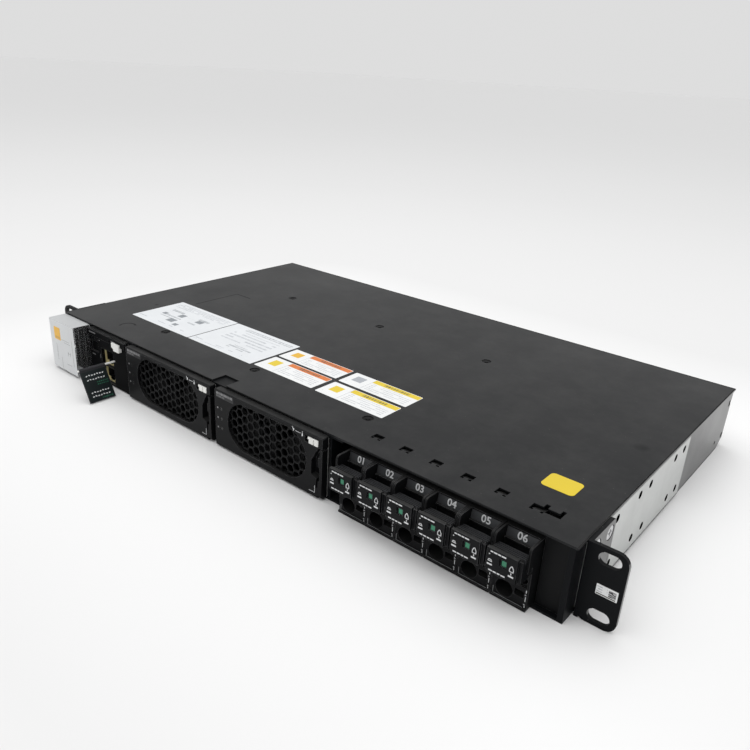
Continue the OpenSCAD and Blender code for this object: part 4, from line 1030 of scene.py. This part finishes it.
cameraView = {
    "at": (0.31154, -0.38902, 0.23332),
    "right": (0.76472, 0.64225, 0.05215),
    "down": (0.28892, -0.26942, -0.91866),
    "forward": (-0.57596, 0.71758, -0.39159),
    "lens": 34.207,
}
clearSelection()
bpy.ops.object.camera_add()
camera = bpy.context.object
right, up, back = Vector(cameraView["right"]), -Vector(cameraView["down"]), -Vector(cameraView["forward"])
camera.matrix_world = Matrix.Translation(cameraView["at"]) @ Matrix((right, up, back)).transposed().to_4x4()
camera.data.sensor_width = 36
camera.data.lens = cameraView["lens"]
camera.data.clip_start = 0.01
bpy.context.scene.camera = camera

studio = {
    "near": (0.745, 0.745, 0.745, 1), "far": (0.716, 0.716, 0.716, 1), "backdrop": (0.728, 0.728, 0.728, 1),
    "paintedLightPool": (0.87, 0.87, 0.87, 1), "footprint": (0.22, 0.15, 0), "paintedLightReach": 0.16,
    "mottle": 0.06, "speck": (0.6, 0.6, 0.6, 1),
    "fill": 0.88, "front": 0.5, "low": 1.2, "high": 1.25,
    "lamp": {"at": (-0.15, -0.2, 1.75), "size": 1.8, "power": 10.0},
}

clearSelection()
bpy.ops.mesh.primitive_plane_add(size=60, location=(0, 0, 0))
floor = bpy.context.object
floor.name = "floor"
floorLook, tree, shader, place = startMaterial("floorSheet")
faded = remap(tree, vectorMaths(tree, "LENGTH", place)["Value"], 0.4, 1.1)
paper = addNode(tree, "ShaderNodeTexNoise", {"Vector": place, "Scale": 3.0, "Detail": 3.0})
tone = blendColours(tree, faded, studio["near"], studio["far"])
# painted light: the floor is painted lighter in a pool round the shelf's footprint, lifting the shadow
# there
aside = vectorMaths(tree, "ABSOLUTE", place)[0]
beyond = vectorMaths(tree, "MAXIMUM", vectorMaths(tree, "SUBTRACT", aside, studio["footprint"])[0],
                     (0, 0, 0))[0]
paintedLift = remap(tree, vectorMaths(tree, "LENGTH", beyond)["Value"], 0.0, studio["paintedLightReach"], 1.0, 0.0)
tone = blendColours(tree, paintedLift, tone, studio["paintedLightPool"])
mottled = blendColours(tree, times(tree, paper.outputs[0], studio["mottle"]), tone, studio["speck"])
tree.links.new(mottled, shader.inputs["Base Color"])
shader.inputs["Roughness"].default_value = 0.8
shader.inputs["Specular IOR Level"].default_value = 0.2
floor.data.materials.append(floorLook)

world = bpy.data.worlds.new("studioWorld")
bpy.context.scene.world = world
world.use_nodes = True
tree = world.node_tree
tree.nodes.clear()
direction = addNode(tree, "ShaderNodeTexCoord").outputs["Generated"]
way = axesOf(tree, direction)
behind = remap(tree, way["Y"], -0.6, 0.5, studio["front"], 1.0)
above = remap(tree, way["Z"], 0.35, 0.8)
low = times(tree, behind, studio["low"], maths(tree, "SUBTRACT", 1.0, above))
strength = times(tree, maths(tree, "MULTIPLY_ADD", above, studio["high"], low), studio["fill"])
rays = addNode(tree, "ShaderNodeLightPath")
fill = addNode(tree, "ShaderNodeBackground", {"Color": (1, 1, 1, 1), "Strength": strength})
seen = addNode(tree, "ShaderNodeBackground", {"Color": studio["backdrop"], "Strength": 1.0})
direct = rays.outputs["Is Camera Ray"]
for kind in ("Is Glossy Ray", "Is Transmission Ray"):
    direct = maths(tree, "MAXIMUM", direct, rays.outputs[kind])
mixed = addNode(tree, "ShaderNodeMixShader", {0: direct, 1: fill.outputs[0], 2: seen.outputs[0]})
addNode(tree, "ShaderNodeOutputWorld", {"Surface": mixed.outputs[0]})
bpy.context.scene.view_settings.view_transform = "Standard"

clearSelection()
lampAt = Vector(studio["lamp"]["at"])
bpy.ops.object.light_add(type="AREA", location=lampAt)
lamp = bpy.context.object
lamp.data.shape = "SQUARE"
lamp.data.size = studio["lamp"]["size"]
lamp.data.energy = studio["lamp"]["power"]
lamp.rotation_euler = (-lampAt).to_track_quat("-Z", "Y").to_euler()
print("camera, light and floor set")
